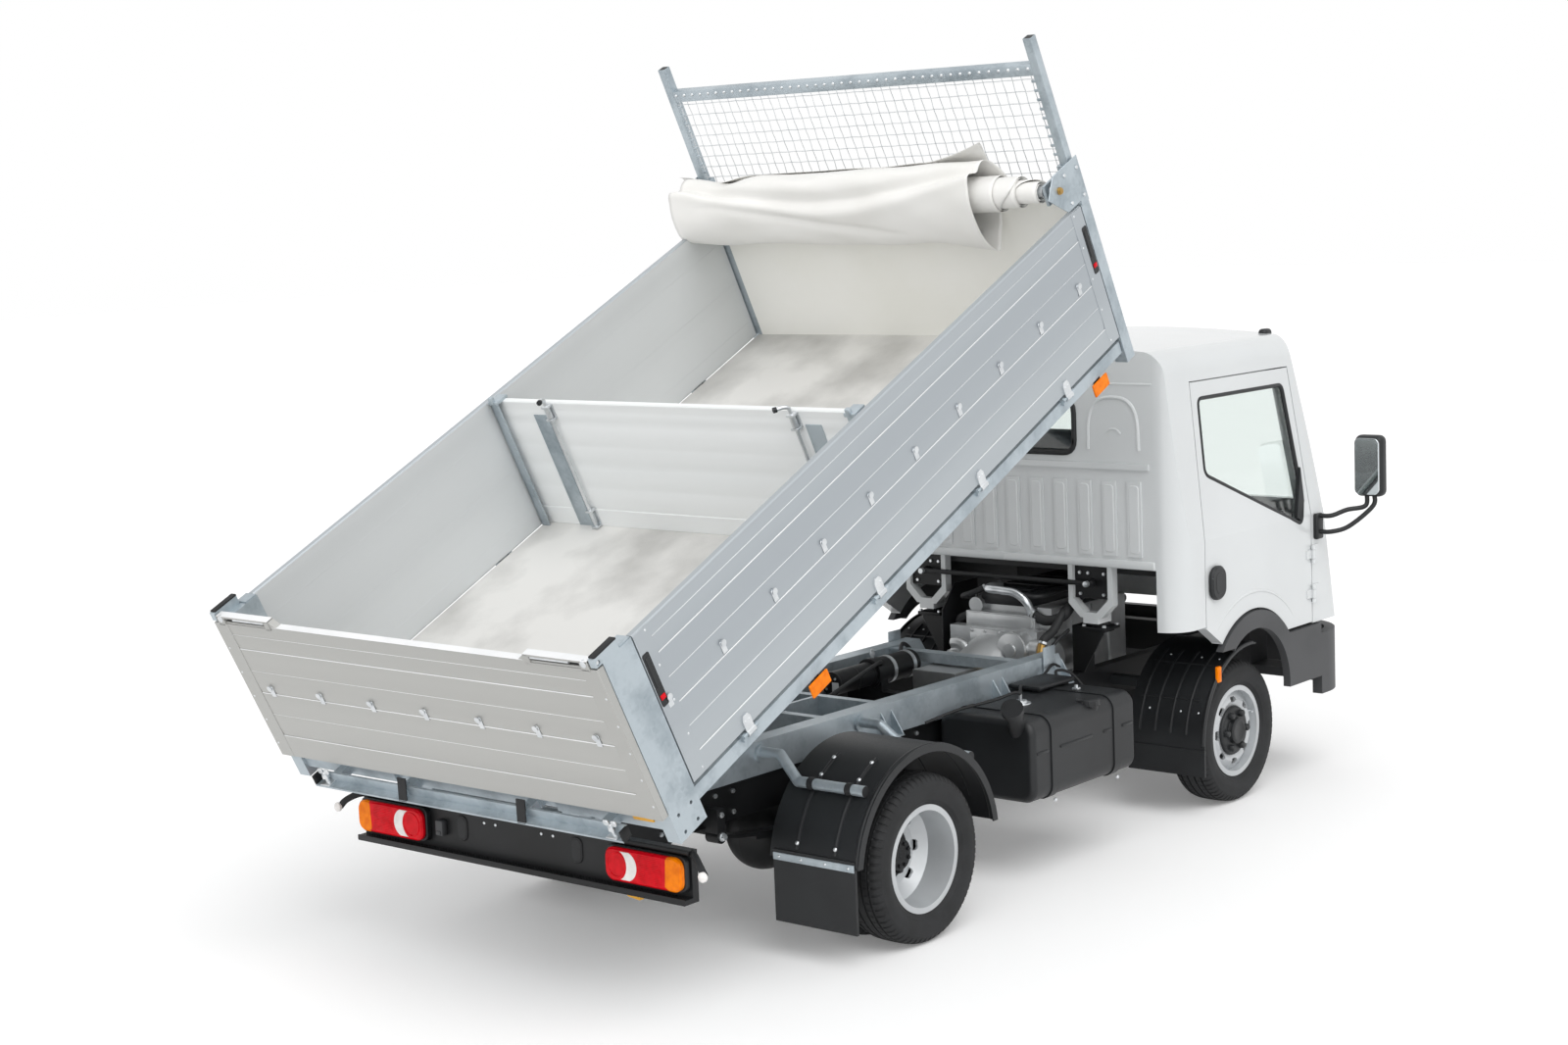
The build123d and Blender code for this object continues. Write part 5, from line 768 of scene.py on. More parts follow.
for side, name in SIDES:
    front, rear = f"{name}_front_wheel", f"{name}_rear_wheels"
    rubber = piece(f"tyre_front_{name}_tread", [tyre(FRONT_X, side * FRONT_WHEEL_Y)], RUBBER,
                   front, crease=30)
    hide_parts(f"tyre_front_{name}")
    pair = [tyre(REAR_X, side * REAR_OUTER_Y), tyre(REAR_X, side * REAR_INNER_Y)]
    rubber = piece(f"tyres_rear_{name}_tread", pair, RUBBER, rear, crease=30)
    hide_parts(f"tyres_rear_{name}")
    # Black hub covers: a raised ring with capped nuts in front, a deep hub with bare nuts behind
    face = side * (FRONT_WHEEL_Y + 52)
    cover = ((0, 112), (8, 112), (14, 108), (17, 100), (17, 62), (20, 60), (34.6, 58.6), (38, 54),
             (40, 44), (38, 40), (38, 0))
    caps = [turned(((14, 17), (34, 15.5), (39, 11), (40, 0)),
                   (FRONT_X + 85 * cos(a), face, WHEEL_Z + 85 * sin(a)), (0, side, 0), 16)
            for a in 2 * pi * np.arange(6) / 6]
    hub = [turned(cover, (FRONT_X, face, WHEEL_Z), (0, side, 0), 48), *caps]
    piece(f"hub_front_{name}", hub, BLACK_PLASTIC, front)
    face = side * ((REAR_OUTER_Y + REAR_INNER_Y) / 2 + 12)
    cover = ((0, 108), (5, 106), (7, 62), (40, 61), (58.6, 60.6), (62, 52), (63, 20), (60, 16), (60, 0))
    hub = [turned(cover, (REAR_X, face, WHEEL_Z), (0, side, 0), 48)]
    hub += [hexagon((REAR_X + 44 * cos(a), face + side * 61, WHEEL_Z + 44 * sin(a)), (0, side, 0), 14, 9)
            for a in 2 * pi * (np.arange(8) + 0.5) / 8]
    hub += wheel_nuts(REAR_X, face + side * 4, side, 85, 6, 26)
    piece(f"hub_rear_{name}", hub, CHASSIS_BLACK, rear)
    valve = spline([(FRONT_X + 150, side * (FRONT_WHEEL_Y + 44), WHEEL_Z + 60),
                    (FRONT_X + 152, side * (FRONT_WHEEL_Y + 62), WHEEL_Z + 62),
                    (FRONT_X + 148, side * (FRONT_WHEEL_Y + 74), WHEEL_Z + 60)], 9)
    piece(f"valve_front_{name}", [tube(valve, 4.5, 8)], ZINC, front)

# Tail lamps: black case, red lens with a round lamp, white crescent beside it, amber outer end
PLATE_X = REAR_X - 1150.0
LAMP_FACE_X = PLATE_X - 78.0
LAMP_MIDDLE = (659.0, 531.0)


def crescent(centre, radius, shift, half_angle):
    """An outline between an arc and the same arc moved back towards its centre."""
    a = np.linspace(-half_angle, half_angle, 17)
    outer = np.stack([centre[0] + shift + radius * np.cos(a), centre[1] + radius * np.sin(a)], -1)
    inner = np.stack([centre[0] + (radius - 6) * np.cos(a), centre[1] + radius * np.sin(a)], -1)
    return np.concatenate([outer, inner[::-1]])


case = piece("tail_lamp_cases", both([prism(rounded(374, 130, 26, LAMP_MIDDLE), PLATE_X - 30, PLATE_X - 54,
                                            axis="x", bevel=3)]), BLACK_PLASTIC, "chassis")
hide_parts("tail_lamps")
lens = [prism(rounded(364, 120, 38, LAMP_MIDDLE, 9), PLATE_X - 50, LAMP_FACE_X + 4, axis="x", bevel=7)]
ROUND_LAMP = (LAMP_MIDDLE[0] - 122, LAMP_MIDDLE[1])
ring = ((0, 47), (3.4, 46), (3.4, 42), (1, 40), (-1, 20), (1.5, 0))
lens.append(turned(ring, (LAMP_FACE_X + 5, *ROUND_LAMP), (-1, 0, 0), 40))
lens += [block((LAMP_FACE_X + 3, LAMP_FACE_X + 8), (LAMP_MIDDLE[0] - 20, LAMP_MIDDLE[0] + 92), (z, z + 2),
               0.9, 2) for z in LAMP_MIDDLE[1] + np.linspace(-48, 46, 16)]
piece("tail_lamp_red_lenses", both(lens), LENS_RED, "chassis")
outer_end = rounded(92, 121, 38, (LAMP_MIDDLE[0] + 137, LAMP_MIDDLE[1]), 9)
outer_end[:, 0] = np.maximum(outer_end[:, 0],
                             LAMP_MIDDLE[0] + 104 + 0.06 * (outer_end[:, 1] - LAMP_MIDDLE[1]))
piece("tail_lamp_amber_lenses", both([prism(outer_end, PLATE_X - 50, LAMP_FACE_X + 3, axis="x", bevel=6)]),
      LENS_AMBER, "chassis")
white = prism(crescent(ROUND_LAMP, 54, 42, 1.2), LAMP_FACE_X + 9, LAMP_FACE_X + 2, axis="x", bevel=1.2)
piece("tail_lamp_white_lenses", both([white]), LENS_WHITE, "chassis")

# Rear bumper: studded tread along the step, oval openings, lamp for the bare plate, end caps
studs = [dome((x, y, 447.4), (0, 0, 1), 4.2, 2.4)
         for x in PLATE_X - np.array([37.0, 50.0, 63.0]) for y in np.linspace(-842, 842, 113)]
edge = [block((PLATE_X - 72.4, PLATE_X - 68), (-853, 853), (428, 451), 1.8),
        block((PLATE_X - 46, PLATE_X - 28), (-853, 853), (600, 616), 4)]
frames = [prism(rounded(58, 96, 26, (300, 540), 8), PLATE_X - 29, PLATE_X - 34, axis="x", bevel=2)]
piece("rear_bumper_tread", studs + edge + both(frames), CHASSIS_BLACK, "chassis")
piece("rear_bumper_openings", both([prism(rounded(44, 80, 20, (300, 540), 8), PLATE_X - 33, PLATE_X - 35,
                                          axis="x", bevel=0.8)]), HOSE_RUBBER, "chassis")
piece("plate_lamp", [block((PLATE_X - 56, PLATE_X - 28), (385, 425), (500, 560), 7),
                     block((PLATE_X - 60, PLATE_X - 40), (392, 418), (504, 520), 4)], GREY_PLASTIC,
      "chassis")
screws = [dome((PLATE_X - 29, 838, 606), (-1, 0, 0), 8, 5),
          dome((PLATE_X - 29, 480, 606), (-1, 0, 0), 6, 4)]
screws += [dome((PLATE_X - 29, y, 575), (-1, 0, 0), 7, 4) for y in (120, 180)]
piece("rear_bumper_screws", both(screws), ZINC, "chassis")
wedge = [(-602, 431), (-516, 431), (-545, 408), (-600, 402)]
piece("tow_wedge", [prism(wedge, PLATE_X - 34, PLATE_X - 8, axis="x", bevel=2)], YELLOW,
      "chassis")

# Sill bar under the tailgate: padded gussets, wing-nut clamps, end plugs
pads, webs, clamps = [], [], []
for y in (-310.0, 310.0):
    strip = [(-173, 104), (-167, 101), (-131, 180), (-137, 184)]
    pads.append(prism(strip, y - 22, y + 22, axis="y", bevel=1.5))
    webs.append(prism([(-166, 107), (-90, 107), (-134, 178)], y - 4, y + 4, axis="y", bevel=1))
for y in (-745.0, 745.0):
    clamps.append(turned(((0, 0), (0, 8), (50, 8), (52, 6), (52, 0)), (-150, y, 106), (0, 0, 1), 12))
    clamps.append(turned(((0, 0), (0, 15), (14, 13), (16, 0)), (-150, y, 134), (0, 0, 1), 16))
    clamps += [prism(rounded(26, 24, 9, (y + 18 * end, 160)), -154, -146, axis="x", bevel=2.5)
               for end in (-1, 1)]
    clamps.append(block((-172, -128), (y - 26, y + 26), (108, 113), 2))
piece("sill_bar_pads", pads, RUBBER, "bed")
piece("sill_bar_webs", webs, GALVANISED, "bed")
piece("sill_bar_clamps", clamps, ZINC, "bed")
piece("sill_bar_plugs", both([block((-171, -129), (794, 803), (101, 145), 2)]), CHASSIS_BLACK,
      "bed")
piece("sill_patch", [block((-98, -90), (-900, -806), (146, 192), 2)], YELLOW, "bed")

# Rear mudguards: rolled outer lip, ribs, clamps round the stays, strip and bolts above the flap
GUARD_RADIUS = 440.0


def guard_point(axle_x, radius, angle, y):
    """A point at a radius from an axle, at an angle from straight ahead."""
    angle, y = np.broadcast_arrays(angle, y)
    return np.stack([axle_x + radius * np.cos(angle), y, WHEEL_Z + radius * np.sin(angle)], -1)


lip, lip_bolts, bands = [], [], []
arc = np.radians(np.linspace(9, 171, 61))
lip.append(tube(guard_point(REAR_X, GUARD_RADIUS - 11, arc, 966.0), 13.5, 12))
for y in (690.0, 870.0):
    for low, high, steps in ((112, 167, 25), (20, 60, 19)):
        arc = np.radians(np.linspace(low, high, steps))
        lip.append(tube(guard_point(REAR_X, GUARD_RADIUS - 1, arc, y), 8, 8))
    for degrees in (116, 128, 164, 24, 56):
        angle = np.radians(float(degrees))
        lip_bolts.append(dome(guard_point(REAR_X, GUARD_RADIUS + 5.5, angle, y),
                              (cos(angle), 0, sin(angle)), 9, 7))
stay = GUARD_RADIUS + 21.3
for degrees in (45, 135):
    angle = np.radians(degrees)
    for y in (690.0, 870.0):
        middle = (REAR_X + stay * cos(angle), y - 13, WHEEL_Z + stay * sin(angle))
        bands.append(turned(((0, 20.5), (0, 24.5), (26, 24.5), (26, 20.5)), middle, (0, 1, 0), 20))
    bands.append(turned(((0, 0), (0, 20.4), (3, 20.8), (3.5, 0)),
                        (REAR_X + stay * cos(angle), 938, WHEEL_Z + stay * sin(angle)), (0, 1, 0), 20))
piece("mudguard_lips", both(lip), BLACK_PLASTIC, "chassis")
piece("mudguard_bands", both(bands), HOSE_RUBBER, "chassis")
strip_x = REAR_X - GUARD_RADIUS
strip = [block((strip_x - 4, strip_x + 1), (582, 966), (376, 404), 1.2)]
piece("mudguard_strips", both(strip), GALVANISED, "chassis")
lip_bolts += [dome((strip_x - 3.5, y, 390), (-1, 0, 0), 6, 4) for y in (610, 715, 830, 940)]
piece("mudguard_bolts", both(lip_bolts), ZINC, "chassis")

# Front mudguards: a lip along the outer edge and pressed ribs on the side towards the tank
FRONT_RADIUS = 410.0
arc = np.radians(np.linspace(86, 178, 37))
ribs = [tube(guard_point(FRONT_X, FRONT_RADIUS, arc, 907.0), 9, 10)]
arc = np.radians(np.linspace(112, 172, 25))
ribs += [tube(guard_point(FRONT_X, FRONT_RADIUS - 1, arc, y), 7, 8) for y in (580.0, 660.0, 740.0, 820.0)]
ribs += [tube(guard_point(FRONT_X, FRONT_RADIUS - 1, np.radians(degrees), np.linspace(560, 860, 9)), 6, 8)
         for degrees in (124.0, 150.0)]
piece("front_guard_ribs", both(ribs), BLACK_PLASTIC, "chassis")
clips = [dome(guard_point(FRONT_X, FRONT_RADIUS + 4, np.radians(degrees), y),
              (cos(radians(degrees)), 0, sin(radians(degrees))), 5.5, 4) for degrees in (118.0, 158.0)
         for y in (620.0, 780.0, 870.0)]
piece("front_guard_bolts", both(clips), ZINC, "chassis")

# Bolts and shackle pins on the black frame, gussets and plates on the subframe
bolts = [hexagon((REAR_X + x, 390, z), (0, 1, 0), 17, 9)
         for x in (-1060, -960, -840, -700, -540, -440, 420, 560, 700, 1330) for z in (532, 612)]
for x in (-620, 620):
    bolts.append(turned(((0, 17), (6, 17), (6, 0)), (REAR_X + x, 490, 487), (0, 1, 0), 20))
    bolts.append(hexagon((REAR_X + x, 495, 487), (0, 1, 0), 24, 14))
    bolts.append(hexagon((REAR_X + x, 490, 570), (0, 1, 0), 19, 10))
piece("frame_bolts", both(bolts), ZINC, "chassis")
gussets = []
for x in (470.0, 1240.0, 1690.0):
    for shift in (-34.0, 34.0):
        triangle = [(418, 652), (478, 652), (478, 660), (418, 752)]
        gussets.append(prism(triangle, REAR_X + x + shift - 3, REAR_X + x + shift + 3, axis="x", bevel=0.8))
    gussets.append(block((REAR_X + x - 38, REAR_X + x + 38), (388, 482), (650, 656), 1.5))
gussets.append(block((REAR_X + 1575, REAR_X + 1665), (423, 427.5), (700, 824), 1.5))
gussets.append(block((REAR_X + 1575, REAR_X + 1665), (419.5, 430), (690, 718), 2))
piece("subframe_gussets", both(gussets), GALVANISED, "chassis")

# Reflectors under the bed's edge, plates and brass ends of the tarp shaft
plates, lenses = [], []
for u in (760.0, 2810.0):
    lenses.append(prism(rounded(112, 54, 5, (u, 106)), 981, 989, axis="y", bevel=2))
    plates += [block((u - 50, u + 50), (976, 983), (84, 128), 2),
               block((u - 16, u + 16), (960, 980), (112, 142), 2)]
piece("edge_reflectors", both(lenses), LENS_AMBER, "bed")
piece("edge_reflector_plates", both(plates), CHASSIS_BLACK, "bed")
shield = [(2822, 930), (2892, 1001), (3078, 1001), (3078, 806), (3024, 806), (3024, 826), (2925, 826)]
end_parts = [prism(shield, 990, 995, axis="y", bevel=1.2)]
piece("tarp_shaft_plates", both(end_parts), GALVANISED, "bed")
ends = [turned(((0, 0), (0, 15), (7, 15), (9, 12), (13, 12), (14, 0)),
               (ROLL_U, 994, ROLL_V), (0, 1, 0), 20)]
piece("tarp_shaft_ends", both(ends), BRASS, "bed")
bolts = [hexagon((u, 994.5, v), (0, 1, 0), 15, 7)
         for u, v in ((3052, 840), (3052, 960), (2960, 970), (2960, 850))]
piece("tarp_shaft_bolts", both(bolts), ZINC, "bed")


def run_from(x, path):
    """A pipe's points, given from a place along the truck."""
    return np.add(path, (x, 0.0, 0.0))


# Fuel tank: moulded ribs, filler with its cap, sender fitting, lid over the pump and formed fuel pipes
TANK_OUT_Y, TANK_TOP_Z = -900.0, 690.0
moulded = []
for low, high in ((REAR_X + 826, REAR_X + 910), (REAR_X + 992, REAR_X + 1230),
                  (REAR_X + 1310, REAR_X + 1370), (REAR_X + 1452, REAR_X + 1536)):
    moulded.append(block((low, high), (TANK_OUT_Y - 5, TANK_OUT_Y + 20), (548, 562), 6))
neck_x = REAR_X + 1270.0
neck = ((-150, 20), (-90, 30), (-20, 40), (0, 42), (2, 50), (24, 50), (28, 46), (29, 0))
moulded.append(turned(neck, (neck_x, -856, 672), (0, 0, 1), 28))
moulded += [block((neck_x + 46 * cos(a) - 5, neck_x + 46 * cos(a) + 5),
                  (-856 + 46 * sin(a) - 5, -856 + 46 * sin(a) + 5), (676, 694), 2, 2)
            for a in np.arange(10) * pi / 5]
moulded.append(block((REAR_X + 1290, REAR_X + 1560), (-600, -436), (698, 718), 8))
moulded += [block((REAR_X + x - 20, REAR_X + x + 20), (y - 20, y + 20), (684, 702), 3) for x in (1330, 1520)
            for y in (-560, -480)]
piece("tank_mouldings", moulded, BLACK_PLASTIC, "chassis")
sender = [turned(((0, 46), (5, 44), (6, 30), (14, 28), (15, 0)), (REAR_X + 1090, -640, TANK_TOP_Z - 1),
                 (0, 0, 1), 28),
          turned(((0, 7), (30, 7), (32, 0)), (REAR_X + 1078, -650, 700), (0, 0, 1), 12),
          turned(((0, 7), (26, 7), (28, 0)), (REAR_X + 1104, -632, 700), (0, 0, 1), 12)]
for x in (REAR_X + 950, REAR_X + 1410):
    sender += [hexagon((x, -895, 344), (0, -1, 0), 15, 9),
               block((x - 12, x + 12), (-720, -690), (695, 707), 3),
               hexagon((x, -705, 706), (0, 0, 1), 14, 12)]
piece("tank_fittings", sender, ZINC, "chassis")
PIPES = (
    ((1078, -650, 730), (1050, -640, 742), (960, -600, 722), (820, -520, 700), (700, -440, 660)),
    ((1104, -632, 726), (1150, -600, 738), (1240, -540, 726), (1300, -500, 714)),
    ((1560, -500, 706), (1600, -480, 726), (1680, -500, 700), (1700, -560, 620), (1690, -560, 560)),
    ((1540, -450, 712), (1640, -430, 740), (1760, -400, 700), (1860, -330, 690)),
)
piece("fuel_pipes", [tube(spline(run_from(REAR_X, path), 28), 6.5, 8) for path in PIPES], HOSE_RUBBER,
      "chassis")

# Hydraulic pack: strap bands, end bolts, fittings, bare label plate
UNIT = (REAR_X + 880.0, 200.0, 728.0)
bands = [turned(((0, 60), (0, 62.5), (22, 62.5), (22, 60)), (REAR_X + x, *UNIT[1:]), (1, 0, 0), 40)
         for x in (1250, 1390)]
bands += [turned(((0, 7), (44, 7), (46, 0)), (REAR_X + 1172, 200, 788), (0, 0, 1), 12),
          turned(((0, 12), (10, 12), (12, 0)), (REAR_X + 1172, 200, 806), (0, 0, 1), 6)]
bands += [hexagon((UNIT[0], 200 + 34 * cos(a), 728 + 34 * sin(a)), (-1, 0, 0), 10, 6)
          for a in np.arange(4) * pi / 2 + 0.8]
piece("hydraulic_bands", bands, ZINC, "chassis")
piece("hydraulic_label", [prism(rounded(36, 40, 3, (176, 716)), UNIT[0] - 1.6, UNIT[0] + 1, axis="x",
                                bevel=0.4)], LABEL_FOIL, "chassis")
caps = [turned(((0, 52.5), (6, 53.5), (10, 52.5), (12, 50)), (REAR_X + x, *UNIT[1:]), (1, 0, 0), 40)
        for x in (880, 1010, 1120)]
piece("hydraulic_caps", caps, CHASSIS_BLACK, "chassis")
HYDRAULIC_LINES = (
    ((1172, 150, 770), (1100, 110, 790), (900, 80, 760), (620, 60, 700), (470, 60, 640)),
    ((1420, 240, 770), (1480, 270, 800), (1560, 290, 760), (1600, 300, 690)),
)
piece("hydraulic_lines", [tube(spline(run_from(REAR_X, path), 30), 9, 10) for path in HYDRAULIC_LINES],
      HOSE_RUBBER, "chassis")

# Engine: covers, snail of the turbocharger, pipes and formed hoses
BACK_X = REAR_X + 1860.0
cast = [block((BACK_X - 76, BACK_X - 55), (-52, 118), (680, 836), 4),
        block((BACK_X - 8, BACK_X + 6), (-176, 176), (846, 896), 3)]
cast += [hexagon((BACK_X - 75, y, z), (-1, 0, 0), 12, 7) for y in (-42, 33, 108) for z in (690, 758, 826)]
cast += [block((BACK_X + x, BACK_X + x + 12), (-198, 198), (520, 890), 2) for x in (140, 290, 440, 590)]
turn = np.linspace(0, 1.75 * pi, 40)
coil = 60 - 14 * turn / turn[-1]
snail = np.stack([np.full(40, BACK_X - 128), 150 + coil * np.cos(turn + 1.2),
                  712 + coil * np.sin(turn + 1.2)], -1)
cast.append(tube(snail, np.linspace(31, 15, 40), 14))
cast.append(turned(((0, 46), (20, 44), (26, 34), (48, 33), (50, 26), (44, 22), (44, 0)),
                   (BACK_X - 128, 150, 712), (-1, 0, 0), 28))
cast.append(turned(((0, 78), (8, 76), (12, 60), (16, 34), (26, 32), (28, 0)),
                   (BACK_X - 130, -150, 765), (-1, 0, 0), 32))
piece("engine_castings", cast, CASTING, "chassis")
cover = [block((BACK_X + 46, BACK_X + 700), (-140, 140), (928, 998), 10)]
cover += [block((BACK_X + 76 + 130 * k, BACK_X + 176 + 130 * k), (-112, 112), (990, 1006), 5)
          for k in range(4)]
piece("engine_cover", cover, BLACK_PLASTIC, "chassis")
intake = spline(run_from(BACK_X, [(90, 60, 1016), (-6, 60, 1012), (-14, -20, 1008), (-12, -96, 1000),
                                  (-4, -150, 960), (20, -160, 900)]), 40)
water = spline(run_from(BACK_X, [(-92, 90, 690), (-150, 30, 668), (-156, -120, 668), (-150, -230, 680),
                                 (-110, -276, 730), (-80, -282, 800)]), 44)
piece("engine_intake", [tube(intake, 19, 14)], ZINC, "chassis")
piece("engine_heat_pipe", [tube(water, 17, 14)], BRASS, "chassis")
HOSES = (
    (((20, -160, 905), (30, -230, 880), (60, -300, 900), (120, -320, 960), (240, -310, 1000)), 24),
    (((-80, -282, 792), (-70, -285, 816), (-10, -295, 846), (70, -302, 920), (200, -280, 940)), 20),
    (((30, 170, 880), (10, 230, 860), (40, 262, 780), (120, 262, 700)), 18),
    (((40, 100, 1010), (10, 150, 985), (20, 220, 960), (160, 262, 940)), 14),
    (((30, -60, 1004), (16, -110, 990), (40, -190, 985), (200, -230, 1000)), 10),
    (((-20, -262, 560), (-90, -290, 620), (-96, -300, 720), (-30, -320, 800), (60, -330, 840)), 8),
)
piece("engine_hoses", [tube(spline(run_from(BACK_X, path), 30), radius, 10) for path, radius in HOSES],
      HOSE_RUBBER, "chassis")
clips = []
for path, radius in HOSES[:4]:
    for start, stop in (path[:2], path[-1:-3:-1]):
        start, stop = run_from(BACK_X, (start, stop))
        clips.append(turned(((4, radius - 1), (4, radius + 2.5), (14, radius + 2.5), (14, radius - 1)),
                            start, stop - start, 18))
piece("engine_hose_clips", clips, ZINC, "chassis")
shields = [prism([(BACK_X - 40, 640), (BACK_X + 240, 640), (BACK_X + 240, 1010), (BACK_X + 60, 1010),
                  (BACK_X - 40, 900)], 296, 302, axis="y", bevel=1)]
shields += [block((BACK_X + 80, BACK_X + 110), (240, 300), (650, 680), 3)]
piece("engine_shield", shields, CHASSIS_BLACK, "chassis")

# Cab stands: rubber mounts with zinc bolts, fittings in the lock plates
STAND_X, LOCK_Y = REAR_X + 1985.0, 455.0
rubber = [turned(((0, 40), (3, 44), (14, 44), (17, 40), (17, 0)), (STAND_X, LOCK_Y, 861), (0, 0, 1), 28)]
feet = [prism([(336, 652), (396, 652), (500, 830), (500, 856), (336, 856)], STAND_X - 48, STAND_X - 42,
              axis="x", bevel=1.2), block((STAND_X - 62, STAND_X + 62), (390, 520), (846, 862), 4)]
stand_bolts = [hexagon((STAND_X + dx, y, 861), (0, 0, 1), 16, 10) for dx in (-50, 50) for y in (402, 508)]
lock_bolts = [hexagon((CAB_BACK_X + 31, LOCK_Y + dy, z), (-1, 0, 0), 15, 8)
              for dy, z in ((-62, 1010), (60, 1010), (-20, 1104), (62, 1104), (-64, 1104))]
lock_bolts.append(turned(((0, 0), (0, 14), (16, 13), (18, 0)),
                         (CAB_BACK_X - 13, LOCK_Y, 1062), (-1, 0, 0), 16))
piece("cab_stand_rubbers", both(rubber), RUBBER, "chassis")
piece("cab_stand_feet", both(feet), CHASSIS_BLACK, "chassis")
piece("cab_stand_bolts", both(stand_bolts), ZINC, "chassis")
piece("cab_lock_bolts", both(lock_bolts), ZINC, "cab")

# Cab: seams, seals, handles and mirrors
BELT_Z, ROOF_HALF, ROOF_Z = 1250.0, 850.0, 2120.0
DOOR_REAR_X, DOOR_FRONT_X = REAR_X + 2105.0, REAR_X + 3060.0
PILLAR_X = DOOR_FRONT_X - 95


def cab_side(z):
    """Half the cab's width at a height: upright to the belt line, then leaning in to the roof."""
    return CAB_HALF - (CAB_HALF - ROOF_HALF) * np.clip((z - BELT_Z) / (ROOF_Z - 40 - BELT_Z), 0, 1)


def nose_x(y, z):
    """The cab's front face: a bow across the truck, sloped below and above the screen's foot."""
    run = np.where(z < 1230, 90 * (1230 - z) / 490, -310 * (z - 1230) / 890)
    return REAR_X + 3330 + run + 40 * (1 - (y / 955) ** 2)


def round_path(corners, radius, steps=6):
    """A closed line round the corners, each drawn as a parabola between points a radius away."""
    corners = np.asarray(corners, float)
    line = []
    for before, corner, after in zip(np.roll(corners, 1, 0), corners, np.roll(corners, -1, 0)):
        start = corner + radius * (before - corner) / np.linalg.norm(before - corner)
        stop = corner + radius * (after - corner) / np.linalg.norm(after - corner)
        t = np.linspace(0, 1, steps)[:, None]
        line.append((1 - t) ** 2 * start + 2 * t * (1 - t) * corner + t**2 * stop)
    line = np.concatenate(line)
    return np.concatenate([line, line[:2]])


window = round_path([(DOOR_REAR_X + 58, 1535), (DOOR_REAR_X + 58, 1866), (PILLAR_X - 62, 1866),
                     (DOOR_FRONT_X - 62, 1330), (DOOR_FRONT_X - 90, 1215)], 34)
for side, name in SIDES:
    door = f"{name}_door"
    seal = np.stack([window[:, 0], side * (cab_side(window[:, 1]) - 5), window[:, 1]], -1)
    grip = [tube(seal, 10, 8)]
    handle_x = DOOR_REAR_X + 85
    face = side * CAB_HALF
    grip.append(prism(rounded(122, 150, 52, (handle_x, 1056), 9), face - side * 3, face + side * 25,
                      axis="y", bevel=9))
    grip.append(prism(rounded(66, 96, 30, (handle_x, 1056), 9), face + side * 20, face + side * 27,
                      axis="y", bevel=2))
    sail = [(DOOR_FRONT_X - 84, 1226), (DOOR_FRONT_X - 60, 1322), (DOOR_FRONT_X - 92, 1480),
            (DOOR_FRONT_X - 128, 1250)]
    grip.append(prism(sail, face - side * 22, face - side * 1, axis="y", bevel=2))
    piece(f"door_{name}_seals", grip, BLACK_PLASTIC, door)
    a = np.radians(np.linspace(40, 134, 40))
    crease = np.stack([FRONT_X + 20 + 468 * np.cos(a), np.full(40, side * (CAB_HALF - 3.5)),
                       500 + 468 * np.sin(a)], -1)
    piece(f"door_{name}_crease", [tube(crease, np.sin(pi * np.linspace(0.02, 0.98, 40)) * 5 + 3.6, 10)],
          CAB_WHITE, door)

MIRROR_X = REAR_X + 3230.0
shells = [block((MIRROR_X - 18, MIRROR_X + 58), (1062, 1203), (1322, 1608), 30, 6),
          block((DOOR_FRONT_X + 15, DOOR_FRONT_X + 75), (CAB_HALF - 2, CAB_HALF + 24),
                (1130, BELT_Z), 9, 4)]
for z, out_y in ((1240, 1112), (1165, 1150)):
    arm = [(DOOR_FRONT_X + 45, CAB_HALF + 8, z), (DOOR_FRONT_X + 60, CAB_HALF + 70, z),
           (DOOR_FRONT_X + 110, 1050 + 0.3 * (out_y - 1112), z + 24), (MIRROR_X, out_y, 1278),
           (MIRROR_X + 8, out_y + 6, 1336)]
    shells.append(tube(spline(arm, 30), 11, 12))
mirror = piece("mirror_shells", both(shells), BLACK_PLASTIC, "cab")
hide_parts("mirrors")
piece("mirror_glasses", both([prism(rounded(120, 262, 24, (1132.5, 1465), 7), MIRROR_X - 26, MIRROR_X - 14,
                                    axis="x", bevel=1)]), MIRROR_GLASS, "cab")

# Rear wall: seal round the window, pressed arches beside it, drip seams
wall = CAB_BACK_X
outline = round_path([(-400, 1640), (400, 1640), (400, 1880), (-400, 1880)], 62)
seal = np.stack([np.full(len(outline), wall + 1.0), outline[:, 0], outline[:, 1]], -1)
piece("rear_window_seal", [tube(seal, 13, 10)], HOSE_RUBBER, "cab")
arch = spline([(470, 1660), (478, 1800), (520, 1872), (600, 1890), (680, 1872), (722, 1800), (730, 1660)],
              44)
presses = [tube(np.stack([np.full(44, wall + 2.0), arch[:, 0], arch[:, 1]], -1), 9, 8)]
small = spline([(560, 1730), (580, 1748), (600, 1752), (620, 1748), (640, 1730)], 16)
presses.append(tube(np.stack([np.full(16, wall + 2.0), small[:, 0], small[:, 1]], -1), 6, 8))
presses.append(block((wall - 3, wall + 6), (-1, 800), (1944, 1954), 3))
presses.append(block((wall - 8, wall + 10), (-1, 800), (1142, 1178), 6))
presses += [prism(rounded(52, 300, 16, (y, 1360), 4), wall - 10.5, wall - 5, axis="x", bevel=3)
            for y in 64 + 128 * np.arange(6)]
piece("rear_wall_presses", both(presses), CAB_WHITE, "cab")

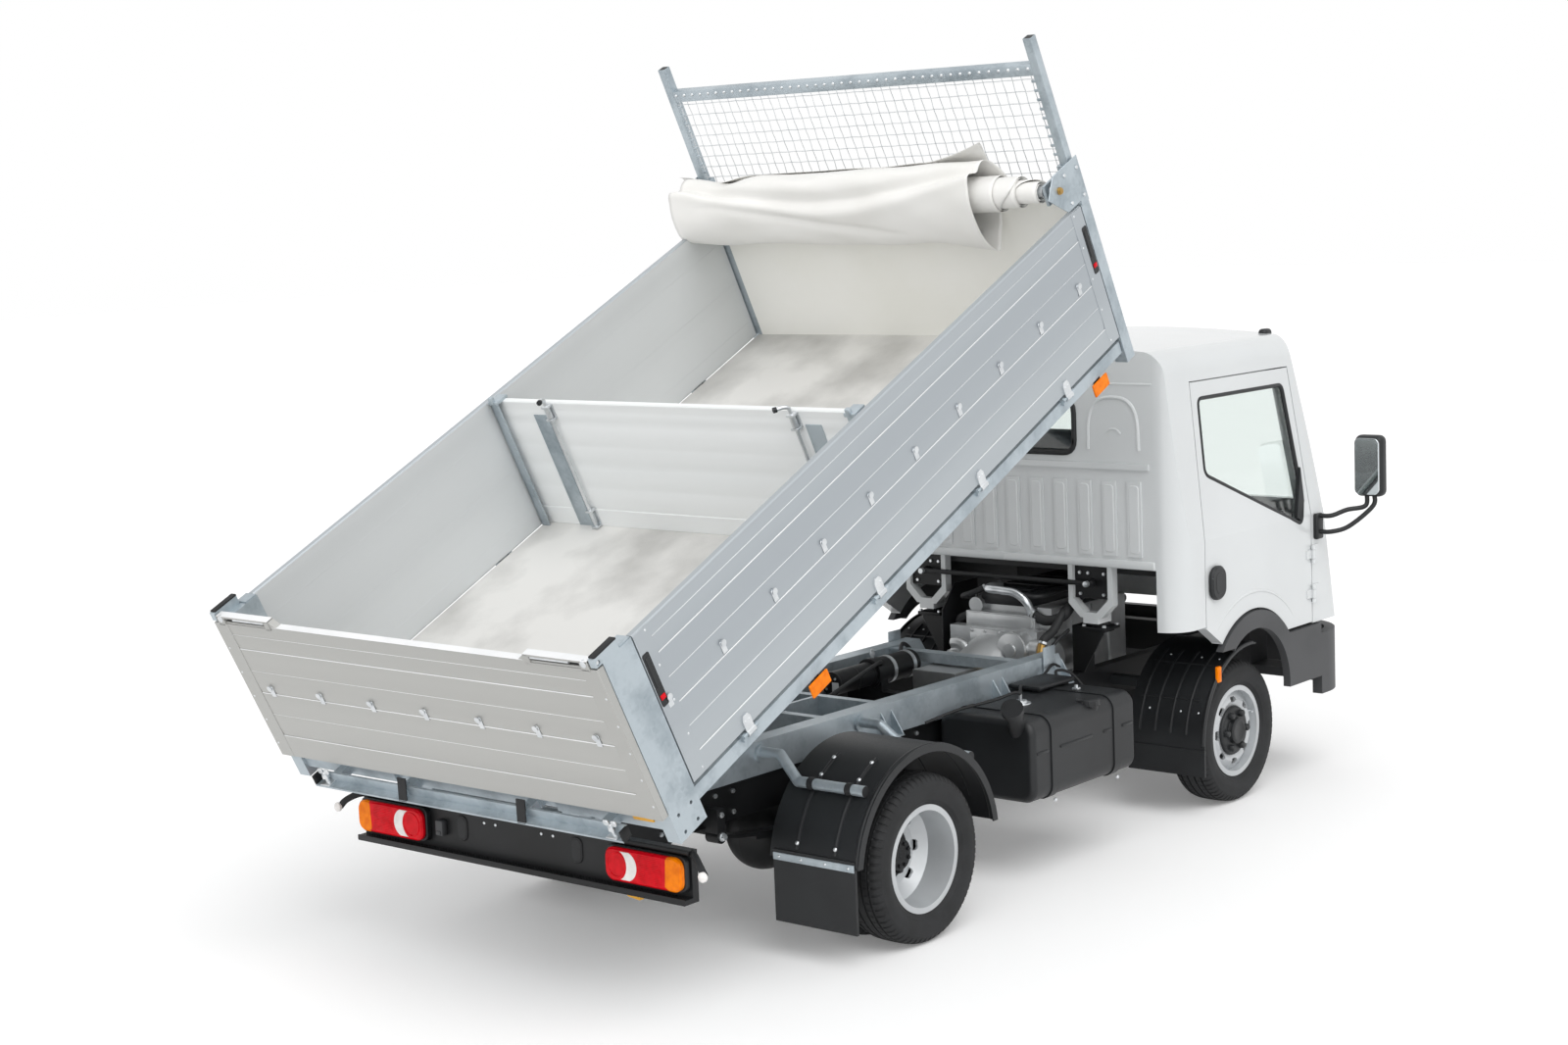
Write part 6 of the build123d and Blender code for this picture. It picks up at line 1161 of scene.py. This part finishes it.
# Front: grille, lamps, wipers, bars in the bumper and a bare plate
y_line = np.linspace(-462, 462, 41)
slats = [tube(np.stack([nose_x(y_line, z) - 7, y_line, np.full(41, z)], -1), 7, 8)
         for z in (852.0, 874.0, 896.0, 918.0, 940.0)]
# A black sheet behind the slats stands in for the shade in the grille's opening: painted shade
y_grid, z_grid = np.meshgrid(np.linspace(-468, 468, 31), np.array([838.0, 953.0]), indexing="ij")
grille_shade_card = grid(np.stack([nose_x(y_grid, z_grid) - 14.5, y_grid, z_grid], -1))
piece("grille_slats", slats, GREY_PLASTIC, "cab")
piece("grille_shade_sheet", [grille_shade_card], CHASSIS_BLACK, "cab", closed=False)
rings, bulbs = [], []
for y in (630.0, 755.0):
    lamp_x = nose_x(y, 895.0) - (16 if y < 700 else 38)
    rings.append(turned(((0, 56), (9, 54), (9, 48), (0, 46)), (lamp_x, y, 895), (1, 0, 0), 32))
    bulbs.append(turned(((0, 46), (5, 38), (8, 20), (9, 0)), (lamp_x, y, 895), (1, 0, 0), 32))
piece("headlamp_rings", both(rings), CHROMED, "cab")
piece("headlamp_bowls", both(bulbs), LENS_WHITE, "cab")
sweep = np.linspace(0, 1, 24)
blades = []
for pivot_y in (-560.0, 120.0):
    y = pivot_y + 560 * sweep
    z = 1262 + 60 * sweep
    blades.append(tube(np.stack([nose_x(y, z) + 10, y, z], -1), 6, 6))
    y = pivot_y + 330 * sweep
    z = 1226 + 68 * sweep
    blades.append(tube(np.stack([nose_x(y, z) + 18, y, z], -1), 8, 8))
piece("wipers", blades, HOSE_RUBBER, "cab")
NOSE_X = REAR_X + 3440.0
bars = [block((NOSE_X + 6, NOSE_X + 26), (-455, 455), (z, z + 11), 4) for z in (474.0, 498.0, 522.0, 546.0)]
piece("bumper_bars", bars, CHASSIS_BLACK, "chassis")
piece("plate_blank", [block((NOSE_X + 24, NOSE_X + 32), (-240, 240), (462, 558), 3)], CAB_WHITE,
      "chassis")
fogs = [turned(((0, 50), (6, 50), (8, 44), (11, 30), (12, 0)), (NOSE_X + 15, 640, 510), (1, 0, 0), 32)]
piece("fog_lamps", both(fogs), LAMP_CLEAR, "chassis")
piece("roof_markers", both([block((REAR_X + 3000, REAR_X + 3070), (690, 735), (2058, 2112), 18, 5)]),
      BLACK_PLASTIC, "cab")
piece("guard_markers", both([block((FRONT_X - 296, FRONT_X - 266), (905, 924), (604, 676), 6, 4)]),
      LENS_AMBER, "chassis")
stalk = spline([(PLATE_X - 16, 846, 604), (PLATE_X - 40, 884, 596), (PLATE_X - 62, 924, 574),
                (PLATE_X - 70, 950, 548)], 20)
piece("marker_stalks", both([tube(stalk, 13, 10)]), RUBBER, "chassis")
piece("marker_lamps", both([turned(((0, 18), (10, 18), (15, 12), (16, 0)), (PLATE_X - 76, 950, 548),
                                   (-1, 0, 0), 20)]), LENS_WHITE, "chassis")

# Seats: padded cushions with a crown and stitched flutes
SEAT_X = CAB_BACK_X + 135.0


def cushion(x, y, z, flutes, along, steps=72):
    """A padded block: a sphere squared off, stretched to the half sizes, with stitched flutes.

    point = middle + half * sign * |cos or sin|**0.32 * crown, less 9 mm where a flute runs.
    """
    limits = np.array([x, y, z], float)
    middle, half = limits.mean(1), (limits[:, 1] - limits[:, 0]) / 2
    a = np.linspace(0, 2 * pi, 2 * steps, endpoint=False)[None, :]
    b = np.linspace(-pi / 2, pi / 2, steps)[:, None]
    power, deep = 0.32, 9
    shape = np.stack([np.sign(np.cos(a)) * np.abs(np.cos(a)) ** power * np.abs(np.cos(b)) ** power,
                      np.sign(np.sin(a)) * np.abs(np.sin(a)) ** power * np.abs(np.cos(b)) ** power,
                      np.sign(np.sin(b)) * np.abs(np.sin(b)) ** power + 0 * a], -1)
    crown = np.ones(3) - 0.05 * (np.abs(shape[..., [1, 2, 0]]) ** 2)
    groove = sum(np.exp(-((shape[..., 1] - f) * half[1] / 9) ** 2) for f in flutes)
    points = middle + half * shape * crown
    points[..., along] -= deep * groove * np.sign(shape[..., along])
    return grid(points, round_b=True)


seat_parts = []
for low, high, flutes in ((180, 720, (-0.55, 0.55)), (-740, 130, (-0.66, 0.0, 0.66))):
    seat_parts.append(cushion((SEAT_X, SEAT_X + 520), (low, high), (1140, 1300), flutes, 2))
    seat_parts.append(cushion((SEAT_X, SEAT_X + 130), (low + 8, high - 8), (1285, 1720), flutes, 0))
seats = piece("seat_cushions", seat_parts, SEAT_CLOTH, "cab", crease=60)
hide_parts("seats")

# Camera where the photograph was taken from, found from the truck's corners
CAMERA_PLACE = np.array([-8.1682, -6.5644, 2.8286])
CAMERA_TURN = radians(-49.466)
CAMERA_RISE = radians(7.475)
CAMERA_ROLL = radians(-2.399)
CAMERA_LENS = 57.64
SENSOR_WIDTH = 36.0
back = np.array([sin(CAMERA_TURN) * cos(CAMERA_RISE),
                 -cos(CAMERA_TURN) * cos(CAMERA_RISE), sin(CAMERA_RISE)])
level = np.array([cos(CAMERA_TURN), sin(CAMERA_TURN), 0.0])
upward = np.cross(back, level)
right = cos(CAMERA_ROLL) * level + sin(CAMERA_ROLL) * upward
upward = -sin(CAMERA_ROLL) * level + cos(CAMERA_ROLL) * upward
camera = bpy.data.objects.new("camera", bpy.data.cameras.new("camera"))
camera.data.lens = CAMERA_LENS
camera.data.sensor_width = SENSOR_WIDTH
view_axes = np.stack([right, upward, back], 1)
camera.matrix_world = Matrix([*([*row, place] for row, place in zip(view_axes, CAMERA_PLACE)),
                              (0, 0, 0, 1)])
bpy.context.scene.collection.objects.link(camera)
bpy.context.scene.camera = camera

# Stage: a wide pale floor, an even pale world, a soft lamp overhead and a softer one low behind the camera
# Each lamp has its strength, its spread in degrees and its turn in degrees
FLOOR_GLOW = 0.14
WORLD_LIGHT = 0.62
LAMPS = {"key": (1.15, 40, (32, -18, 0)), "fill": (1.2, 80, (72, 0, -66))}


def plain_view(tree):
    """1 for rays that see a surface straight, through glass or in a shiny face, 0 for scattered light."""
    seen = add_node(tree, "ShaderNodeLightPath").outputs
    straight = add_node(tree, "ShaderNodeMath", {"operation": "MAXIMUM"},
                        {0: seen["Is Camera Ray"], 1: seen["Is Transmission Ray"]})
    return add_node(tree, "ShaderNodeMath", {"operation": "MAXIMUM"},
                    {0: straight.outputs[0], 1: seen["Is Glossy Ray"]}).outputs[0]


FLOOR_REACH = 60.0
STAGE_WHITE, stage_tree, stage_shader = material("pale_floor_paint",
                                                 {"Base Color": linear("#F6F6F6"), "Roughness": 0.9})
stage_glow = add_node(stage_tree, "ShaderNodeMapRange", {"To Max": FLOOR_GLOW},
                      {"Value": plain_view(stage_tree)})
stage_shader.inputs["Emission Color"].default_value = linear("#FFFFFF")
stage_tree.links.new(stage_glow.outputs[0], stage_shader.inputs["Emission Strength"])
corners = np.array([[-1, -1, 0], [1, -1, 0], [1, 1, 0], [-1, 1, 0]]) * FLOOR_REACH
floor_mesh = bpy.data.meshes.new("floor")
floor_mesh.from_pydata(corners.tolist(), [], [[0, 1, 2, 3]])
floor_mesh.materials.append(STAGE_WHITE)
floor = bpy.data.objects.new("floor", floor_mesh)
bpy.context.scene.collection.objects.link(floor)

world = bpy.data.worlds.new("studio")
bpy.context.scene.world = world
world.use_nodes = True
air = world.node_tree
strength = add_node(air, "ShaderNodeMapRange", {"To Min": WORLD_LIGHT, "To Max": 1.0},
                    {"Value": plain_view(air)})
sky = air.nodes["Background"]
sky.inputs["Color"].default_value = linear("#FFFFFF")
air.links.new(strength.outputs[0], sky.inputs["Strength"])

for lamp_name, (energy, spread, turn) in LAMPS.items():
    lamp = bpy.data.objects.new(lamp_name, bpy.data.lights.new(lamp_name, "SUN"))
    lamp.data.energy = energy
    lamp.data.angle = radians(spread)
    lamp.rotation_euler = [radians(angle) for angle in turn]
    bpy.context.scene.collection.objects.link(lamp)
bpy.context.scene.view_settings.view_transform = "Standard"
